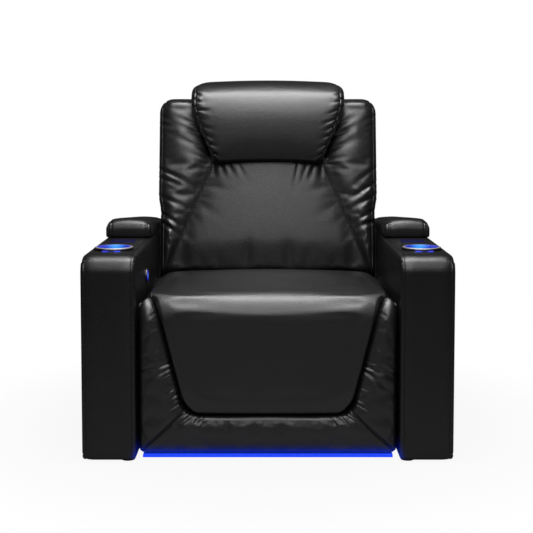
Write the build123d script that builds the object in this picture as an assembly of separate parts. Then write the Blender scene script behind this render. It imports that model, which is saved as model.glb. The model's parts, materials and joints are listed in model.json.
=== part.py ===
from build123d import *
import os
from math import atan2, cos, degrees, hypot, radians, sin

# Reclining theatre seat. Lengths are millimetres. The seat faces -Y and stands on Z = 0.
# A "depth" is a distance behind the fronts of the arms, a "half" is half of a width.

# Whole seat
overall_width = 990.0
overall_depth = 920.0
glide_height = 4.0
glide_radius = 18.0
soft_gap = 0.5
pivot_gap = 0.05

# Arms
arm_width = 148.0
arm_top = 551.0
arm_roll = 50.0
arm_edge = 14.0
arm_side_padding = 16.0
arm_front_padding = 34.0
arm_top_padding = 24.0
arm_board = 15.0

# Cup holder, its light, the lit crescent and the dark plate behind it
cup_depth_place = 140.0
cup_inner_radius = 41.0
cup_wall = 1.5
cup_deep = 80.0
cup_rim_radius = 54.5
cup_rim_height = 8.0
cup_light_height = 8.0
cup_light_wall = 2.0
crescent_inner = 57.0
crescent_width = 7.0
crescent_angle = 44.0
trim_height = 2.0
plate_place = 339.0
plate_wide = 70.0
plate_long = 66.0

# Storage bin and its padded lid
bin_wide = 80.0
bin_start = 470.0
bin_rear_margin = 46.0
bin_deep = 150.0
bin_wall = 2.5
bin_flange = 8.0
lid_start = 428.0
lid_top = 611.0
lid_board_thick = 12.0
lid_inset = 12.0
lid_lift = 1.0
lid_margin = 3.0
lid_crown = 8.0
lid_round = 12.0
lid_pin_setback = 32.0
lid_pin_gap = 12.0
lid_pin_up = 7.0
lid_pin_radius = 2.5
lid_knuckle_radius = 5.0
leaf_thick = 2.0
leaf_wide = 60.0
leaf_rear_gap = 2.0

# Round switch on the inner face of one arm
switch_depth = 272.0
switch_z = 461.0
switch_rim_radius = 20.0
switch_rim_proud = 3.0
switch_body_radius = 17.0
switch_body_deep = 20.0
button_radius = 15.0
button_proud = 1.2
button_travel = 1.5
button_split = 0.8

# Steel base and mechanism
base_rail_wide = 30.0
base_rail_high = 40.0
base_rail_z = 15.0
base_rail_start = 130.0
base_rail_setback = 40.0
cross_tube_size = 30.0
cross_tube_front_gap = 20.0
cross_tube_rear_gap = 30.0
plate_thick = 4.0
plate_side_gap = 27.0
plate_foot_step = 10.0
plate_hub = 20.0
plate_corner = 6.0
plate_hole_radius = 36.0
plate_hole_z = 130.0
plate_hole_start = 330.0
plate_hole_pitch = 120.0
link_gap = 2.0
link_wide = 30.0
coupler_wide = 26.0
crank_wide = 24.0
pin_radius = 6.0
link_pin_radius = 5.0
hinge_tube_radius = 28.0
hinge_tube_wall = 3.0
drive_tube_radius = 11.0
bar_size = 25.0
bar_z = 180.0

# Footrest: hinge, links and travel
footrest_hinge = (85.0, 365.0)
footrest_travel = 85.0
crank_offset = (150.0, -85.0)
link_offset = (25.0, -110.0)
knee_radius = 80.0
knee_crown = 8.0
footrest_side_gap = 9.0
footrest_bottom = 17.0
footrest_board_depth = 68.0
footrest_board_thick = 16.0
footrest_board_drop = 44.8
footrest_board_round = 6.0
leg_pad = 50.0
leg_pad_crown = 11.0
leg_pad_corner = 24.0
leg_pad_tube_gap = 2.0
bolster_top_wide = 51.0
bolster_bottom_wide = 116.0
bolster_crown = 9.0
bolster_foot = 48.0
bolster_side_gap = 2.0
pad_bottom_z = 124.0
mitre_rise = 22.0
band_crown = 5.0
crease = 4.0
leg_arm_foot = 90.0
leg_arm_wide = 23.0
leg_arm_round = 8.0
light_size = 8.0
light_side_gap = 6.0
light_setback = 8.0
light_channel_deep = 36.0
diffuser_deep = 10.0
diffuser_round = 3.0

# Seat
seat_rail_z = 300.0
seat_rail_high = 40.0
seat_rail_wide = 30.0
seat_rail_start = 130.0
seat_rail_end = 625.0
seat_rear_rail = 570.0
cross_rail_deep = 30.0
webbing_thick = 3.0
webbing_wide = 50.0
webbing_pitch = 110.0
seat_side_gap = 12.0
seat_end = 556.0
seat_side_top = 432.0
seat_crown = 41.0

# Backrest, set out from a middle plane that leans back
back_rake = 11.0
back_foot = (640.0, 400.0)
back_hinge = (655.0, 372.0)
back_travel = 40.0
back_side_gap = 5.0
back_length = 576.0
back_pad_start = 6.0
back_pad = 72.0
back_pad_crown = 12.0
upper_pad = 52.0
upper_pad_crown = 4.0
wing_pad = 66.0
wing_crown = 12.0
wing_top_wide = 157.0
wing_bottom_wide = 20.0
wing_least_wide = 12.0
wing_trim = 1.0
back_shell_deep = 130.0
back_shell_wall = 10.0
back_shell_crown = 14.0
back_shell_lip = 4.0
stile_gap = 5.0
stile_wide = 24.0
stile_deep = 60.0
stile_top_gap = 16.0
back_frame_gap = 2.0
back_rail_high = 40.0
back_rail_deep = 20.0
upper_rail_rise = 54.0
back_strap_start = 100.0
back_strap_drop = 101.0
top_strap_drop = 96.0
bracket_along = 100.0
bracket_wide = 40.0
bracket_gap = 1.0

# Headrest
headrest_above = 50.0
headrest_long = 264.0
headrest_hinge_up = 14.0
headrest_hinge_ahead = 66.0
headrest_travel = 35.0
seam_drop = 4.0
headrest_top_inset = 99.0
headrest_bottom_inset = 164.0
headrest_back = 84.0
headrest_pad = 60.0
headrest_crown = 15.0
headrest_roll = 26.0
headrest_roll_gap = 5.0
headrest_roll_lap = 8.0
headrest_board_thick = 12.0
headrest_board_inset = 3.0
headrest_board_rise = 16.0
headrest_board_drop = 56.0
headrest_plate_long = 94.0
headrest_plate_thick = 12.0
headrest_slot_half = 40.0
headrest_slot_gap = 4.0
barrel_half = 22.0
barrel_radius = 11.0
ear_inner = 26.0
ear_thick = 6.0
ear_hub = 12.0
ear_step = 4.0
ear_waist = 20.0
ear_throat = 44.0

# Linear actuators
rod_radius = 8.0
tube_radius = 15.0
crank_pin_radius = 5.0
crank_plate = 8.0
yoke_plate = 6.0
yoke_wall = 8.0
yoke_gap = 1.6
rod_reach = 40.0
rod_start = 24.0
rod_end_gap = 10.0
gearbox_round = 6.0
gearbox_wide = 54.0
gearbox_tall = 58.0
gearbox_long = 52.0
small_gearbox_tall = 40.0
motor_radius = 19.0
motor_length = 84.0
lug_long = 20.0
clevis_ear = 5.0
footrest_crank_x = -70.0
footrest_crank = 50.0
recline_crank_x = 60.0
recline_crank = 90.0
recline_crank_wide = 26.0
headrest_crank_x = 0.0
headrest_crank = 95.0
headrest_crank_wide = 20.0

# Electrics and rear skirt
control_box_x = 100.0
control_box_wide = 120.0
control_box_deep = 70.0
control_box_high = 40.0
control_box_round = 5.0
inlet_radius = 7.0
inlet_bore = 2.75
inlet_bore_deep = 10.0
inlet_long = 14.0
skirt_setback = 24.0
skirt_thick = 10.0
skirt_bottom = 100.0
skirt_top = 330.0

# Widths, from the arms inwards
arm_inner = overall_width / 2 - arm_width
arm_middle = overall_width / 2 - arm_width / 2
plate_inner = arm_inner - plate_side_gap
link_inner = plate_inner + plate_thick + link_gap
coupler_inner = link_inner + plate_thick + link_gap
board_half = link_inner
seat_half = arm_inner - seat_side_gap
footrest_half = arm_inner - footrest_side_gap
pad_top_half = footrest_half - bolster_top_wide
pad_bottom_half = footrest_half - bolster_bottom_wide
back_half = arm_inner - back_side_gap
stile_outer = plate_inner - stile_gap
seam_top_half = back_half - wing_top_wide
seam_bottom_half = back_half - wing_bottom_wide
headrest_top_half = back_half - headrest_top_inset
headrest_bottom_half = back_half - headrest_bottom_inset

# Depths, from the rear forwards
lid_pin_depth = overall_depth - lid_pin_setback
lid_end = lid_pin_depth - lid_pin_gap
bin_end = lid_end - bin_rear_margin
base_rail_end = overall_depth - base_rail_setback
rear_tube_middle = base_rail_end - cross_tube_rear_gap - cross_tube_size / 2

# Places along the back, from its top downwards
headrest_end = back_length + headrest_above
headrest_start = headrest_end - headrest_long
headrest_hinge = (headrest_start + headrest_hinge_up, headrest_hinge_ahead)
headrest_board_end = headrest_end - headrest_board_drop
upper_rail_along = headrest_hinge[0] + upper_rail_rise
seam_top = headrest_start - seam_drop


def fore(depth):
    """Y of a place that lies this far behind the fronts of the arms."""
    return depth - overall_depth / 2


def shift(place, step):
    return (place[0] + step[0], place[1] + step[1])


def both(solid):
    """The solid and its mirror image on the other side of the seat."""
    return solid + mirror(solid, about=Plane.YZ)


def block(x_span, depth_span, z_span):
    corner = Pos(x_span[0], fore(depth_span[0]), z_span[0])
    size = (x_span[1] - x_span[0], depth_span[1] - depth_span[0], z_span[1] - z_span[0])
    return corner * Box(*size, align=(Align.MIN, Align.MIN, Align.MIN))


def side_prism(points, x_span, radius=0.0):
    """A plate or body with a profile of (depth, z) points, seen from the side."""
    outline = FilletPolyline(*[(fore(d), z) for d, z in points], radius=radius, close=True)
    face = Plane.YZ.offset(x_span[0]) * make_face(outline)
    return extrude(face, x_span[1] - x_span[0], dir=(1, 0, 0))


def pin(x_span, place, radius):
    middle = Pos((x_span[0] + x_span[1]) / 2, fore(place[0]), place[1])
    return middle * Rot(0, 90, 0) * Cylinder(radius, x_span[1] - x_span[0])


def link(start, end, width, x_span):
    """A flat bar with round ends between two (depth, z) places."""
    run, rise = end[0] - start[0], end[1] - start[1]
    middle = Pos(fore(start[0] + run / 2), start[1] + rise / 2)
    bar = middle * Rot(0, 0, degrees(atan2(rise, run))) * SlotCenterToCenter(hypot(run, rise), width)
    return extrude(Plane.YZ.offset(x_span[0]) * bar, x_span[1] - x_span[0], dir=(1, 0, 0))


def slice_across(plane, x_low, x_high, flat, face, crown, bow):
    """One slice of a cushion: a flat back, bowed sides and a crowned face."""
    middle = (flat + face) / 2
    peak = face + crown if face > flat else face - crown
    outline = Line((x_low, flat), (x_high, flat))
    outline += ThreePointArc((x_high, flat), (x_high + bow, middle), (x_high, face))
    outline += ThreePointArc((x_high, face), ((x_low + x_high) / 2, peak), (x_low, face))
    outline += ThreePointArc((x_low, face), (x_low - bow, middle), (x_low, flat))
    return plane * make_face(outline)


def cushion(plane_at, stations, ruled=True):
    """A loft through slices; a station is (place, x_low, x_high, flat, face, crown, bow)."""
    return loft([slice_across(plane_at(s[0]), *s[1:]) for s in stations], ruled=ruled)


def seat_plane(depth):
    """Upright plane across the seat: X across, Z up."""
    return Plane(origin=(0, fore(depth), 0), x_dir=(1, 0, 0), z_dir=(0, -1, 0))


def leg_plane(z):
    """Level plane across the footrest: X across, then forward from its board."""
    return Plane(origin=(0, fore(footrest_board_depth), z), x_dir=(1, 0, 0), z_dir=(0, 0, -1))


def back_place(along, ahead=0.0):
    """(depth, z) of a place along the back and ahead of its middle plane."""
    tilt = radians(back_rake)
    depth = back_foot[0] + along * sin(tilt) - ahead * cos(tilt)
    return (depth, back_foot[1] + along * cos(tilt) + ahead * sin(tilt))


def back_plane(along):
    depth, z = back_place(along)
    tilt = radians(back_rake)
    return Plane(origin=(0, fore(depth), z), x_dir=(1, 0, 0), z_dir=(0, -sin(tilt), -cos(tilt)))


def back_block(x_span, along_span, ahead_span):
    tilt = radians(back_rake)
    front = Plane(
        origin=(0, fore(back_foot[0]), back_foot[1]), x_dir=(1, 0, 0), z_dir=(0, -cos(tilt), sin(tilt))
    )
    size = (x_span[1] - x_span[0], along_span[1] - along_span[0], ahead_span[1] - ahead_span[0])
    corner = Pos(x_span[0], along_span[0], ahead_span[0])
    return front * corner * Box(*size, align=(Align.MIN, Align.MIN, Align.MIN))


def crank_place(pivot, radius, down, angle):
    """End of a crank: "down" is the angle of its middle position, "angle" is off that."""
    turned = radians(down + angle)
    return (pivot[0] + radius * cos(turned), pivot[1] + radius * sin(turned))


# ---- arms ----


def arm_bin_void(top):
    x_span = (arm_middle - bin_wide / 2, arm_middle + bin_wide / 2)
    return block(x_span, (bin_start, bin_end), (arm_top - bin_deep, top))


def cup_void(radius, z_span):
    middle = Pos(arm_middle, fore(cup_depth_place), (z_span[0] + z_span[1]) / 2)
    return middle * Cylinder(radius, z_span[1] - z_span[0])


def arm_frame():
    """Plywood box with an open bottom, a cup well and a bin well."""
    outer_x = (arm_inner + arm_side_padding, overall_width / 2 - arm_side_padding)
    outer_d = (arm_front_padding, overall_depth - arm_side_padding)
    outer_z = (glide_height, arm_top - arm_top_padding)
    box = block(outer_x, outer_d, outer_z)
    wells = [
        (outer_d[0] + arm_board, cup_depth_place + cup_rim_radius + arm_board),
        (cup_depth_place + cup_rim_radius + 2 * arm_board, bin_start - 2 * arm_board),
        (bin_start - arm_board, outer_d[1] - arm_board),
    ]
    inner_x = (outer_x[0] + arm_board, outer_x[1] - arm_board)
    for well in wells:
        box -= block(inner_x, well, (outer_z[0], outer_z[1] - arm_board))
    box -= cup_void(cup_inner_radius + cup_wall + soft_gap, (arm_top - cup_deep, arm_top))
    box -= arm_bin_void(arm_top)
    return box


def arm_cover():
    """Padded upholstery wrapped round the frame."""
    x_span = (arm_inner, overall_width / 2)
    front, rear = fore(0), fore(overall_depth)
    corners = [(front, glide_height), (rear, glide_height), (rear, arm_top), (front, arm_top)]
    outline = FilletPolyline(*corners, radius=[arm_edge, arm_edge, arm_edge * 2, arm_roll], close=True)
    body = extrude(Plane.YZ.offset(x_span[0]) * make_face(outline), arm_width, dir=(1, 0, 0))
    long_edges = body.faces().filter_by(Axis.X).edges()
    body = fillet(long_edges, arm_edge - 1)
    outer_x = (x_span[0] + arm_side_padding, x_span[1] - arm_side_padding)
    outer_d = (arm_front_padding, overall_depth - arm_side_padding)
    body -= block(outer_x, outer_d, (glide_height - 1, arm_top - arm_top_padding))
    body -= cup_void(cup_inner_radius + cup_wall + soft_gap, (arm_top - cup_deep, arm_top + 1))
    body -= arm_bin_void(arm_top + 1)
    flange_x = (arm_middle - bin_wide / 2 - bin_flange, arm_middle + bin_wide / 2 + bin_flange)
    body -= block(flange_x, (bin_start - bin_flange, bin_end + bin_flange), (arm_top - bin_wall, arm_top + 1))
    return body


def storage_bin():
    x_span = (arm_middle - bin_wide / 2, arm_middle + bin_wide / 2)
    outer = block(x_span, (bin_start, bin_end), (arm_top - bin_deep, arm_top))
    flange_x = (x_span[0] - bin_flange, x_span[1] + bin_flange)
    flange_d = (bin_start - bin_flange, bin_end + bin_flange)
    outer += block(flange_x, flange_d, (arm_top - bin_wall, arm_top))
    inner_x = (x_span[0] + bin_wall, x_span[1] - bin_wall)
    inner_d = (bin_start + bin_wall, bin_end - bin_wall)
    return outer - block(inner_x, inner_d, (arm_top - bin_deep + bin_wall, arm_top + 1))


def cup_holder():
    """Drawn cup with a rounded rim that stands on the arm's top."""
    outer, inner = cup_inner_radius + cup_wall, cup_inner_radius
    rim_middle = (inner + cup_rim_radius) / 2
    profile = Polyline((0, -cup_deep), (outer, -cup_deep), (outer, 0), (cup_rim_radius, 0))
    profile += ThreePointArc((cup_rim_radius, 0), (rim_middle, cup_rim_height), (inner, 0))
    profile += Polyline((inner, 0), (inner, cup_wall - cup_deep), (0, cup_wall - cup_deep), (0, -cup_deep))
    face = Plane.XZ * make_face(profile)
    return Pos(arm_middle, fore(cup_depth_place), arm_top) * revolve(face, Axis.Z)


def cup_light():
    outer = cup_void(cup_inner_radius, (arm_top - cup_light_height, arm_top))
    return outer - cup_void(cup_inner_radius - cup_light_wall, (arm_top - cup_light_height, arm_top))


def touch_crescent():
    """Curved lit strip just in front of the cup's rim."""
    outer_radius = crescent_inner + crescent_width
    z_span = (arm_top, arm_top + trim_height)
    ring = cup_void(outer_radius, z_span) - cup_void(crescent_inner, z_span)
    reach = outer_radius * sin(radians(crescent_angle / 2))
    front = cup_depth_place - outer_radius
    window = block((arm_middle - reach, arm_middle + reach), (front, cup_depth_place), z_span)
    return ring & window


def dock_plate():
    x_span = (arm_middle - plate_wide / 2, arm_middle + plate_wide / 2)
    d_span = (plate_place - plate_long / 2, plate_place + plate_long / 2)
    plate = block(x_span, d_span, (arm_top, arm_top + trim_height))
    return fillet(plate.edges().filter_by(Axis.Z), plate_wide / 8)


# ---- lids ----


lid_bottom = arm_top + lid_lift
lid_pin_place = (lid_pin_depth, arm_top + lid_pin_up)


def lid_board():
    """Plywood lid with its hinge leaf let into the underside."""
    x_span = (arm_inner + lid_inset, overall_width / 2 - lid_inset)
    board = block(x_span, (lid_start + lid_inset, lid_end), (lid_bottom, lid_bottom + lid_board_thick))
    return board - lid_leaf_plate()


def lid_leaf_plate():
    leaf_x = (arm_middle - leaf_wide / 2, arm_middle + leaf_wide / 2)
    return block(leaf_x, (lid_end - leaf_wide / 2, lid_pin_depth), (lid_bottom, lid_bottom + leaf_thick))


def lid_leaf():
    """Moving hinge leaf: plate, web and middle knuckle."""
    knuckle_x = (arm_middle - leaf_wide / 6 + pivot_gap, arm_middle + leaf_wide / 6 - pivot_gap)
    plate = lid_leaf_plate() - block(
        (arm_middle - leaf_wide, knuckle_x[0]), (lid_end + 1, overall_depth), (0, lid_top)
    )
    plate -= block((knuckle_x[1], arm_middle + leaf_wide), (lid_end + 1, overall_depth), (0, lid_top))
    web = block(
        knuckle_x, (lid_pin_depth - lid_knuckle_radius, lid_pin_depth), (lid_bottom, lid_pin_place[1])
    )
    leaf = plate + web + pin(knuckle_x, lid_pin_place, lid_knuckle_radius)
    return leaf - pin((arm_inner, overall_width / 2), lid_pin_place, lid_pin_radius + pivot_gap)


def lid_pad():
    """Padded leather box over the lid board."""
    x_low, x_high = arm_inner + lid_margin, overall_width / 2 - lid_margin
    across = slice_across(seat_plane(lid_start), x_low, x_high, lid_bottom, lid_top - lid_crown, lid_crown, 1)
    pad = extrude(across, lid_end - lid_start, dir=(0, 1, 0))
    top = pad.faces().sort_by(Axis.Z)[-1]
    pad = fillet(top.edges(), lid_round)
    x_span = (arm_inner + lid_inset, overall_width / 2 - lid_inset)
    return pad - block(
        x_span, (lid_start + lid_inset, lid_end + 1), (lid_bottom - 1, lid_bottom + lid_board_thick)
    )


def lid_fixed_leaf():
    """Fixed hinge leaf on the arm: plate, two knuckles and the pin."""
    leaf_x = (arm_middle - leaf_wide / 2, arm_middle + leaf_wide / 2)
    plate = block(leaf_x, (lid_pin_depth, overall_depth - leaf_rear_gap), (arm_top, arm_top + leaf_thick))
    leaf = plate + pin(leaf_x, lid_pin_place, lid_pin_radius)
    for x_span in (
        (leaf_x[0], arm_middle - leaf_wide / 6 - pivot_gap),
        (arm_middle + leaf_wide / 6 + pivot_gap, leaf_x[1]),
    ):
        leaf += pin(x_span, lid_pin_place, lid_knuckle_radius)
        leaf += block(
            x_span, (lid_pin_depth, lid_pin_depth + lid_knuckle_radius), (arm_top, lid_pin_place[1])
        )
    return leaf


# ---- switch, on the arm at the -X side ----


switch_place = (switch_depth, switch_z)


def switch_void():
    return pin((-arm_inner - switch_body_deep, -arm_inner), switch_place, switch_body_radius)


def switch_housing():
    face = -arm_inner
    body = pin((face - switch_body_deep, face), switch_place, switch_body_radius)
    body += pin((face, face + switch_rim_proud), switch_place, switch_rim_radius)
    well_radius = button_radius + soft_gap / 2
    floor = face + switch_rim_proud + button_proud - switch_button_deep() - 2 * button_travel
    return body - pin((floor, face + switch_rim_proud), switch_place, well_radius)


def switch_button_deep():
    return switch_rim_proud + button_proud + 3 * button_travel


def switch_button(upper):
    """Half of a round button, split level across its middle."""
    top = -arm_inner + switch_rim_proud + button_proud
    x_span = (top - switch_button_deep(), top)
    disc = pin(x_span, switch_place, button_radius)
    split = button_split / 2
    z_span = (switch_z + split, switch_z + button_radius)
    if not upper:
        z_span = (switch_z - button_radius, switch_z - split)
    return disc & block(x_span, (switch_depth - button_radius, switch_depth + button_radius), z_span)


# ---- base and mechanism ----


drive_pivot = shift(footrest_hinge, crank_offset)
front_joint = shift(footrest_hinge, link_offset)
rear_joint = shift(drive_pivot, link_offset)


def floor_glides():
    places = [glide_radius + arm_edge, overall_depth / 2, overall_depth - glide_radius - arm_edge]
    glides = [
        Pos(arm_inner + arm_side_padding / 2 + glide_radius, fore(d), glide_height / 2)
        * Cylinder(glide_radius, glide_height)
        for d in places
    ]
    return both(glides[0] + glides[1] + glides[2])


def base_rails():
    x_span = (arm_inner - base_rail_wide, arm_inner)
    z_span = (base_rail_z, base_rail_z + base_rail_high)
    return both(block(x_span, (base_rail_start, base_rail_end), z_span))


def base_cross_tubes():
    half = arm_inner - base_rail_wide
    z_span = (base_rail_z, base_rail_z + cross_tube_size)
    front = base_rail_start + cross_tube_front_gap
    rear = rear_tube_middle - cross_tube_size / 2
    tubes = block((-half, half), (front, front + cross_tube_size), z_span)
    return tubes + block((-half, half), (rear, rear + cross_tube_size), z_span)


def side_plates():
    """Steel plates that stand on the base rails and carry every pivot."""
    foot = base_rail_z + base_rail_high
    hub = plate_hub
    heel = back_hinge[0] + hub
    outline = [
        (base_rail_start + plate_foot_step, foot),
        (heel, foot),
        (heel, back_hinge[1] + hub),
        (back_hinge[0] - hub, back_hinge[1] + hub),
        (back_hinge[0] - 3 * hub, seat_rail_z + seat_rail_high),
        (footrest_hinge[0] + 2 * hub, seat_rail_z + seat_rail_high),
        (footrest_hinge[0] + hub, footrest_hinge[1] + hub),
        (footrest_hinge[0] - hub, footrest_hinge[1] + hub),
        (footrest_hinge[0] - hub, footrest_hinge[1] - hub),
        (base_rail_start + plate_foot_step, drive_pivot[1] - hub),
    ]
    x_span = (plate_inner, plate_inner + plate_thick)
    plate = side_prism(outline, x_span, radius=plate_corner)
    plate -= pin(x_span, footrest_hinge, pin_radius)
    plate -= pin(x_span, back_hinge, pin_radius)
    plate -= pin(x_span, drive_pivot, drive_tube_radius + pivot_gap)
    for count in range(3):
        place = (plate_hole_start + count * plate_hole_pitch, plate_hole_z)
        plate -= pin(x_span, place, plate_hole_radius)
    return both(plate)


def hinge_tube():
    tube = pin((-plate_inner, plate_inner), footrest_hinge, hinge_tube_radius)
    return tube - pin((-plate_inner, plate_inner), footrest_hinge, hinge_tube_radius - hinge_tube_wall)


def hinge_pins():
    """Pins of the footrest's and the back's hinges, one of each on both sides."""
    pins = pin((plate_inner, link_inner + plate_thick), footrest_hinge, pin_radius)
    return both(pins + pin((stile_outer, plate_inner + plate_thick), back_hinge, pin_radius))


def drive_shaft():
    """Torsion tube with the actuator's crank and a drive link welded to each end."""
    tube = pin((-link_inner, link_inner), drive_pivot, drive_tube_radius)
    crank = link(drive_pivot, footrest_crank_pin, crank_wide, crank_span(footrest_crank_x))
    crank += pin(crank_pin_span(footrest_crank_x), footrest_crank_pin, crank_pin_radius)
    bar = link(drive_pivot, rear_joint, link_wide, (link_inner, link_inner + plate_thick))
    bar += pin((link_inner, coupler_inner + plate_thick), rear_joint, link_pin_radius)
    return tube + crank + both(bar)


def coupler_link():
    """Long link from the drive link to the footrest arm; its rear eye is a little wider."""
    x_span = (coupler_inner, coupler_inner + plate_thick)
    bar = link(front_joint, rear_joint, coupler_wide, x_span)
    bar -= pin(x_span, front_joint, link_pin_radius + pivot_gap)
    return bar - pin(x_span, rear_joint, link_pin_radius + soft_gap / 2)


# ---- linear actuators ----


def crank_span(x):
    return (x - crank_plate / 2, x + crank_plate / 2)


def crank_pin_span(x):
    return (x + crank_plate / 2, x + crank_plate / 2 + yoke_plate + 2 * link_gap)


def yoke_x(x):
    return x + crank_plate / 2 + link_gap + yoke_plate / 2


def crank_lift(radius, travel):
    """How far a crank pin rises and falls while it turns through its travel."""
    return radius * (1 - cos(radians(travel / 2)))


def crank_stroke(radius, travel):
    return 2 * radius * sin(radians(travel / 2))


footrest_crank_pin = crank_place(drive_pivot, footrest_crank, -90.0, footrest_travel / 2)
recline_crank_pin = crank_place(back_hinge, recline_crank, -90.0, back_travel / 2)
headrest_pivot = back_place(*headrest_hinge)
headrest_crank_pin = crank_place(headrest_pivot, headrest_crank, -back_rake, -headrest_travel / 2)


def actuator_rod(plane, lift, reach, inside):
    """Rod along the plane's normal; its slotted yoke takes up the crank pin's rise and fall."""
    hole = crank_pin_radius + yoke_gap
    head = SlotCenterToCenter(lift, 2 * (hole + yoke_wall)) - SlotCenterToCenter(lift, 2 * hole)
    yoke = extrude(Plane.YZ.offset(-yoke_plate / 2) * head, yoke_plate)
    neck = Pos(0, 0, -rod_start + yoke_wall / 4) * Box(yoke_plate, rod_radius * 2, 2 * yoke_wall)
    neck -= Box(yoke_plate, 4 * rod_radius, 2 * hole + yoke_wall)
    rod_long = reach + inside - rod_start
    rod = Pos(0, 0, -rod_start - rod_long / 2) * Cylinder(rod_radius, rod_long)
    return plane * (yoke + neck + rod)


def actuator_body(plane, reach, bore, tall, side):
    """Outer tube, gearbox, motor can on its left or right (-1 or 1) and rear lug."""
    box_middle = -reach - bore - gearbox_long / 2
    body = Pos(0, 0, -reach - bore / 2) * Cylinder(tube_radius, bore)
    box = Pos(0, 0, box_middle) * Box(gearbox_wide, tall, gearbox_long)
    body += fillet(box.edges().filter_by(Axis.Z), gearbox_round)
    can_middle = Pos(side * (gearbox_wide + motor_length) / 2, 0, box_middle)
    body += can_middle * Rot(0, 90, 0) * Cylinder(motor_radius, motor_length)
    lug_middle = box_middle - gearbox_long / 2 - lug_long / 2
    body += Pos(0, 0, lug_middle) * Box(2 * clevis_ear, lug_long, lug_long)
    body -= Pos(0, 0, lug_middle) * Rot(0, 90, 0) * Cylinder(link_pin_radius + pivot_gap, 3 * clevis_ear)
    return plane * (body - Pos(0, 0, -reach - bore / 2) * Cylinder(rod_radius + pivot_gap, bore))


def clevis_back(reach, bore):
    """Distance from the yoke back to the clevis pin."""
    return reach + bore + gearbox_long + lug_long / 2


def actuator_clevis(plane, back, foot):
    """Two ears, a foot plate and the pin; "foot" is the signed height of what it stands on."""
    low, high = min(foot, -lug_long / 2), max(foot, lug_long / 2)
    ear = Pos(0, (low + high) / 2, -back) * Box(clevis_ear, high - low, lug_long)
    step = 1.5 * clevis_ear + soft_gap
    clevis = Pos(step, 0, 0) * ear + Pos(-step, 0, 0) * ear
    inward = clevis_ear / 2 if foot < 0 else -clevis_ear / 2
    clevis += Pos(0, foot + inward, -back) * Box(2 * step, clevis_ear, lug_long)
    return plane * (clevis + Pos(0, 0, -back) * Rot(0, 90, 0) * Cylinder(link_pin_radius, 2 * step))


def level_yoke(pin_place, pivot, radius, travel):
    """Depth and height of a level rod's yoke, half way up its crank pin's rise."""
    return (pin_place[0], pivot[1] - radius + crank_lift(radius, travel) / 2)


footrest_yoke = level_yoke(footrest_crank_pin, drive_pivot, footrest_crank, footrest_travel)
recline_yoke = level_yoke(recline_crank_pin, back_hinge, recline_crank, back_travel)
footrest_bore = crank_stroke(footrest_crank, footrest_travel) + rod_reach
recline_stroke = crank_stroke(recline_crank, back_travel)
recline_reach = rod_reach + recline_stroke
recline_bore = recline_stroke + rod_reach
headrest_bore = crank_stroke(headrest_crank, headrest_travel) + rod_start
bar_top = bar_z + bar_size
footrest_bar = footrest_yoke[0] + clevis_back(rod_reach, footrest_bore)
recline_bar = recline_yoke[0] - clevis_back(recline_reach, recline_bore)


def level_plane(x, yoke, forward):
    """Plane at a level rod's yoke, with its normal from the motor to the yoke."""
    towards = (0, -1, 0) if forward else (0, 1, 0)
    return Plane(origin=(yoke_x(x), fore(yoke[0]), yoke[1]), x_dir=(1, 0, 0), z_dir=towards)


def headrest_actuator_plane():
    tilt = radians(back_rake)
    along = headrest_hinge[0] - headrest_crank * sin(radians(headrest_travel / 2))
    depth, z = back_place(along, headrest_actuator_ahead())
    origin = (yoke_x(headrest_crank_x), fore(depth), z)
    return Plane(origin=origin, x_dir=(1, 0, 0), z_dir=(0, sin(tilt), cos(tilt)))


def headrest_actuator_ahead():
    return headrest_hinge[1] - headrest_crank + crank_lift(headrest_crank, headrest_travel) / 2


def headrest_clevis_along():
    yoke = headrest_hinge[0] - headrest_crank * sin(radians(headrest_travel / 2))
    return yoke - clevis_back(rod_reach, headrest_bore)


def actuator_bars():
    """Cross bars that the two level actuators are anchored to."""
    bars = [
        block((-plate_inner, plate_inner), (d - bar_size / 2, d + bar_size / 2), (bar_z, bar_top))
        for d in (footrest_bar, recline_bar)
    ]
    return bars[0] + bars[1]


# ---- seat ----


def seat_side_rails():
    x_span = (plate_inner - seat_rail_wide, plate_inner)
    z_span = (seat_rail_z, seat_rail_z + seat_rail_high)
    return both(block(x_span, (seat_rail_start, seat_rail_end), z_span))


def seat_cross_rails():
    half = plate_inner - seat_rail_wide
    z_span = (seat_rail_z, seat_rail_z + seat_rail_high)
    front = block((-half, half), (seat_rail_start, seat_rail_start + cross_rail_deep), z_span)
    rear = block((-half, half), (seat_rear_rail, seat_rear_rail + cross_rail_deep), z_span)
    return front + rear


seat_deck_z = seat_rail_z + seat_rail_high + webbing_thick


def seat_webbing():
    """Five straps from the front rail to the rear one."""
    straps = Part()
    for count in range(-2, 3):
        middle = count * webbing_pitch
        x_span = (middle - webbing_wide / 2, middle + webbing_wide / 2)
        d_span = (seat_rail_start, seat_rear_rail + cross_rail_deep)
        straps += block(x_span, d_span, (seat_deck_z - webbing_thick, seat_deck_z))
    return straps


def seat_cushion():
    """Crowned cushion with drawn-in sides, from the knee roll to the back."""
    front = seat_rail_start + soft_gap
    long = seat_end - front
    shape = [(0.0, 0.98, 0.45), (0.15, 1.0, 0.85), (0.42, 1.0, 1.0), (0.75, 0.99, 0.88), (1.0, 0.965, 0.6)]
    stations = [
        (front + share * long, -half * seat_half, half * seat_half, seat_deck_z, seat_side_top, crown, 3)
        for share, half, crown in [(a, b, c * seat_crown) for a, b, c in shape]
    ]
    return cushion(seat_plane, stations, ruled=False)


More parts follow.
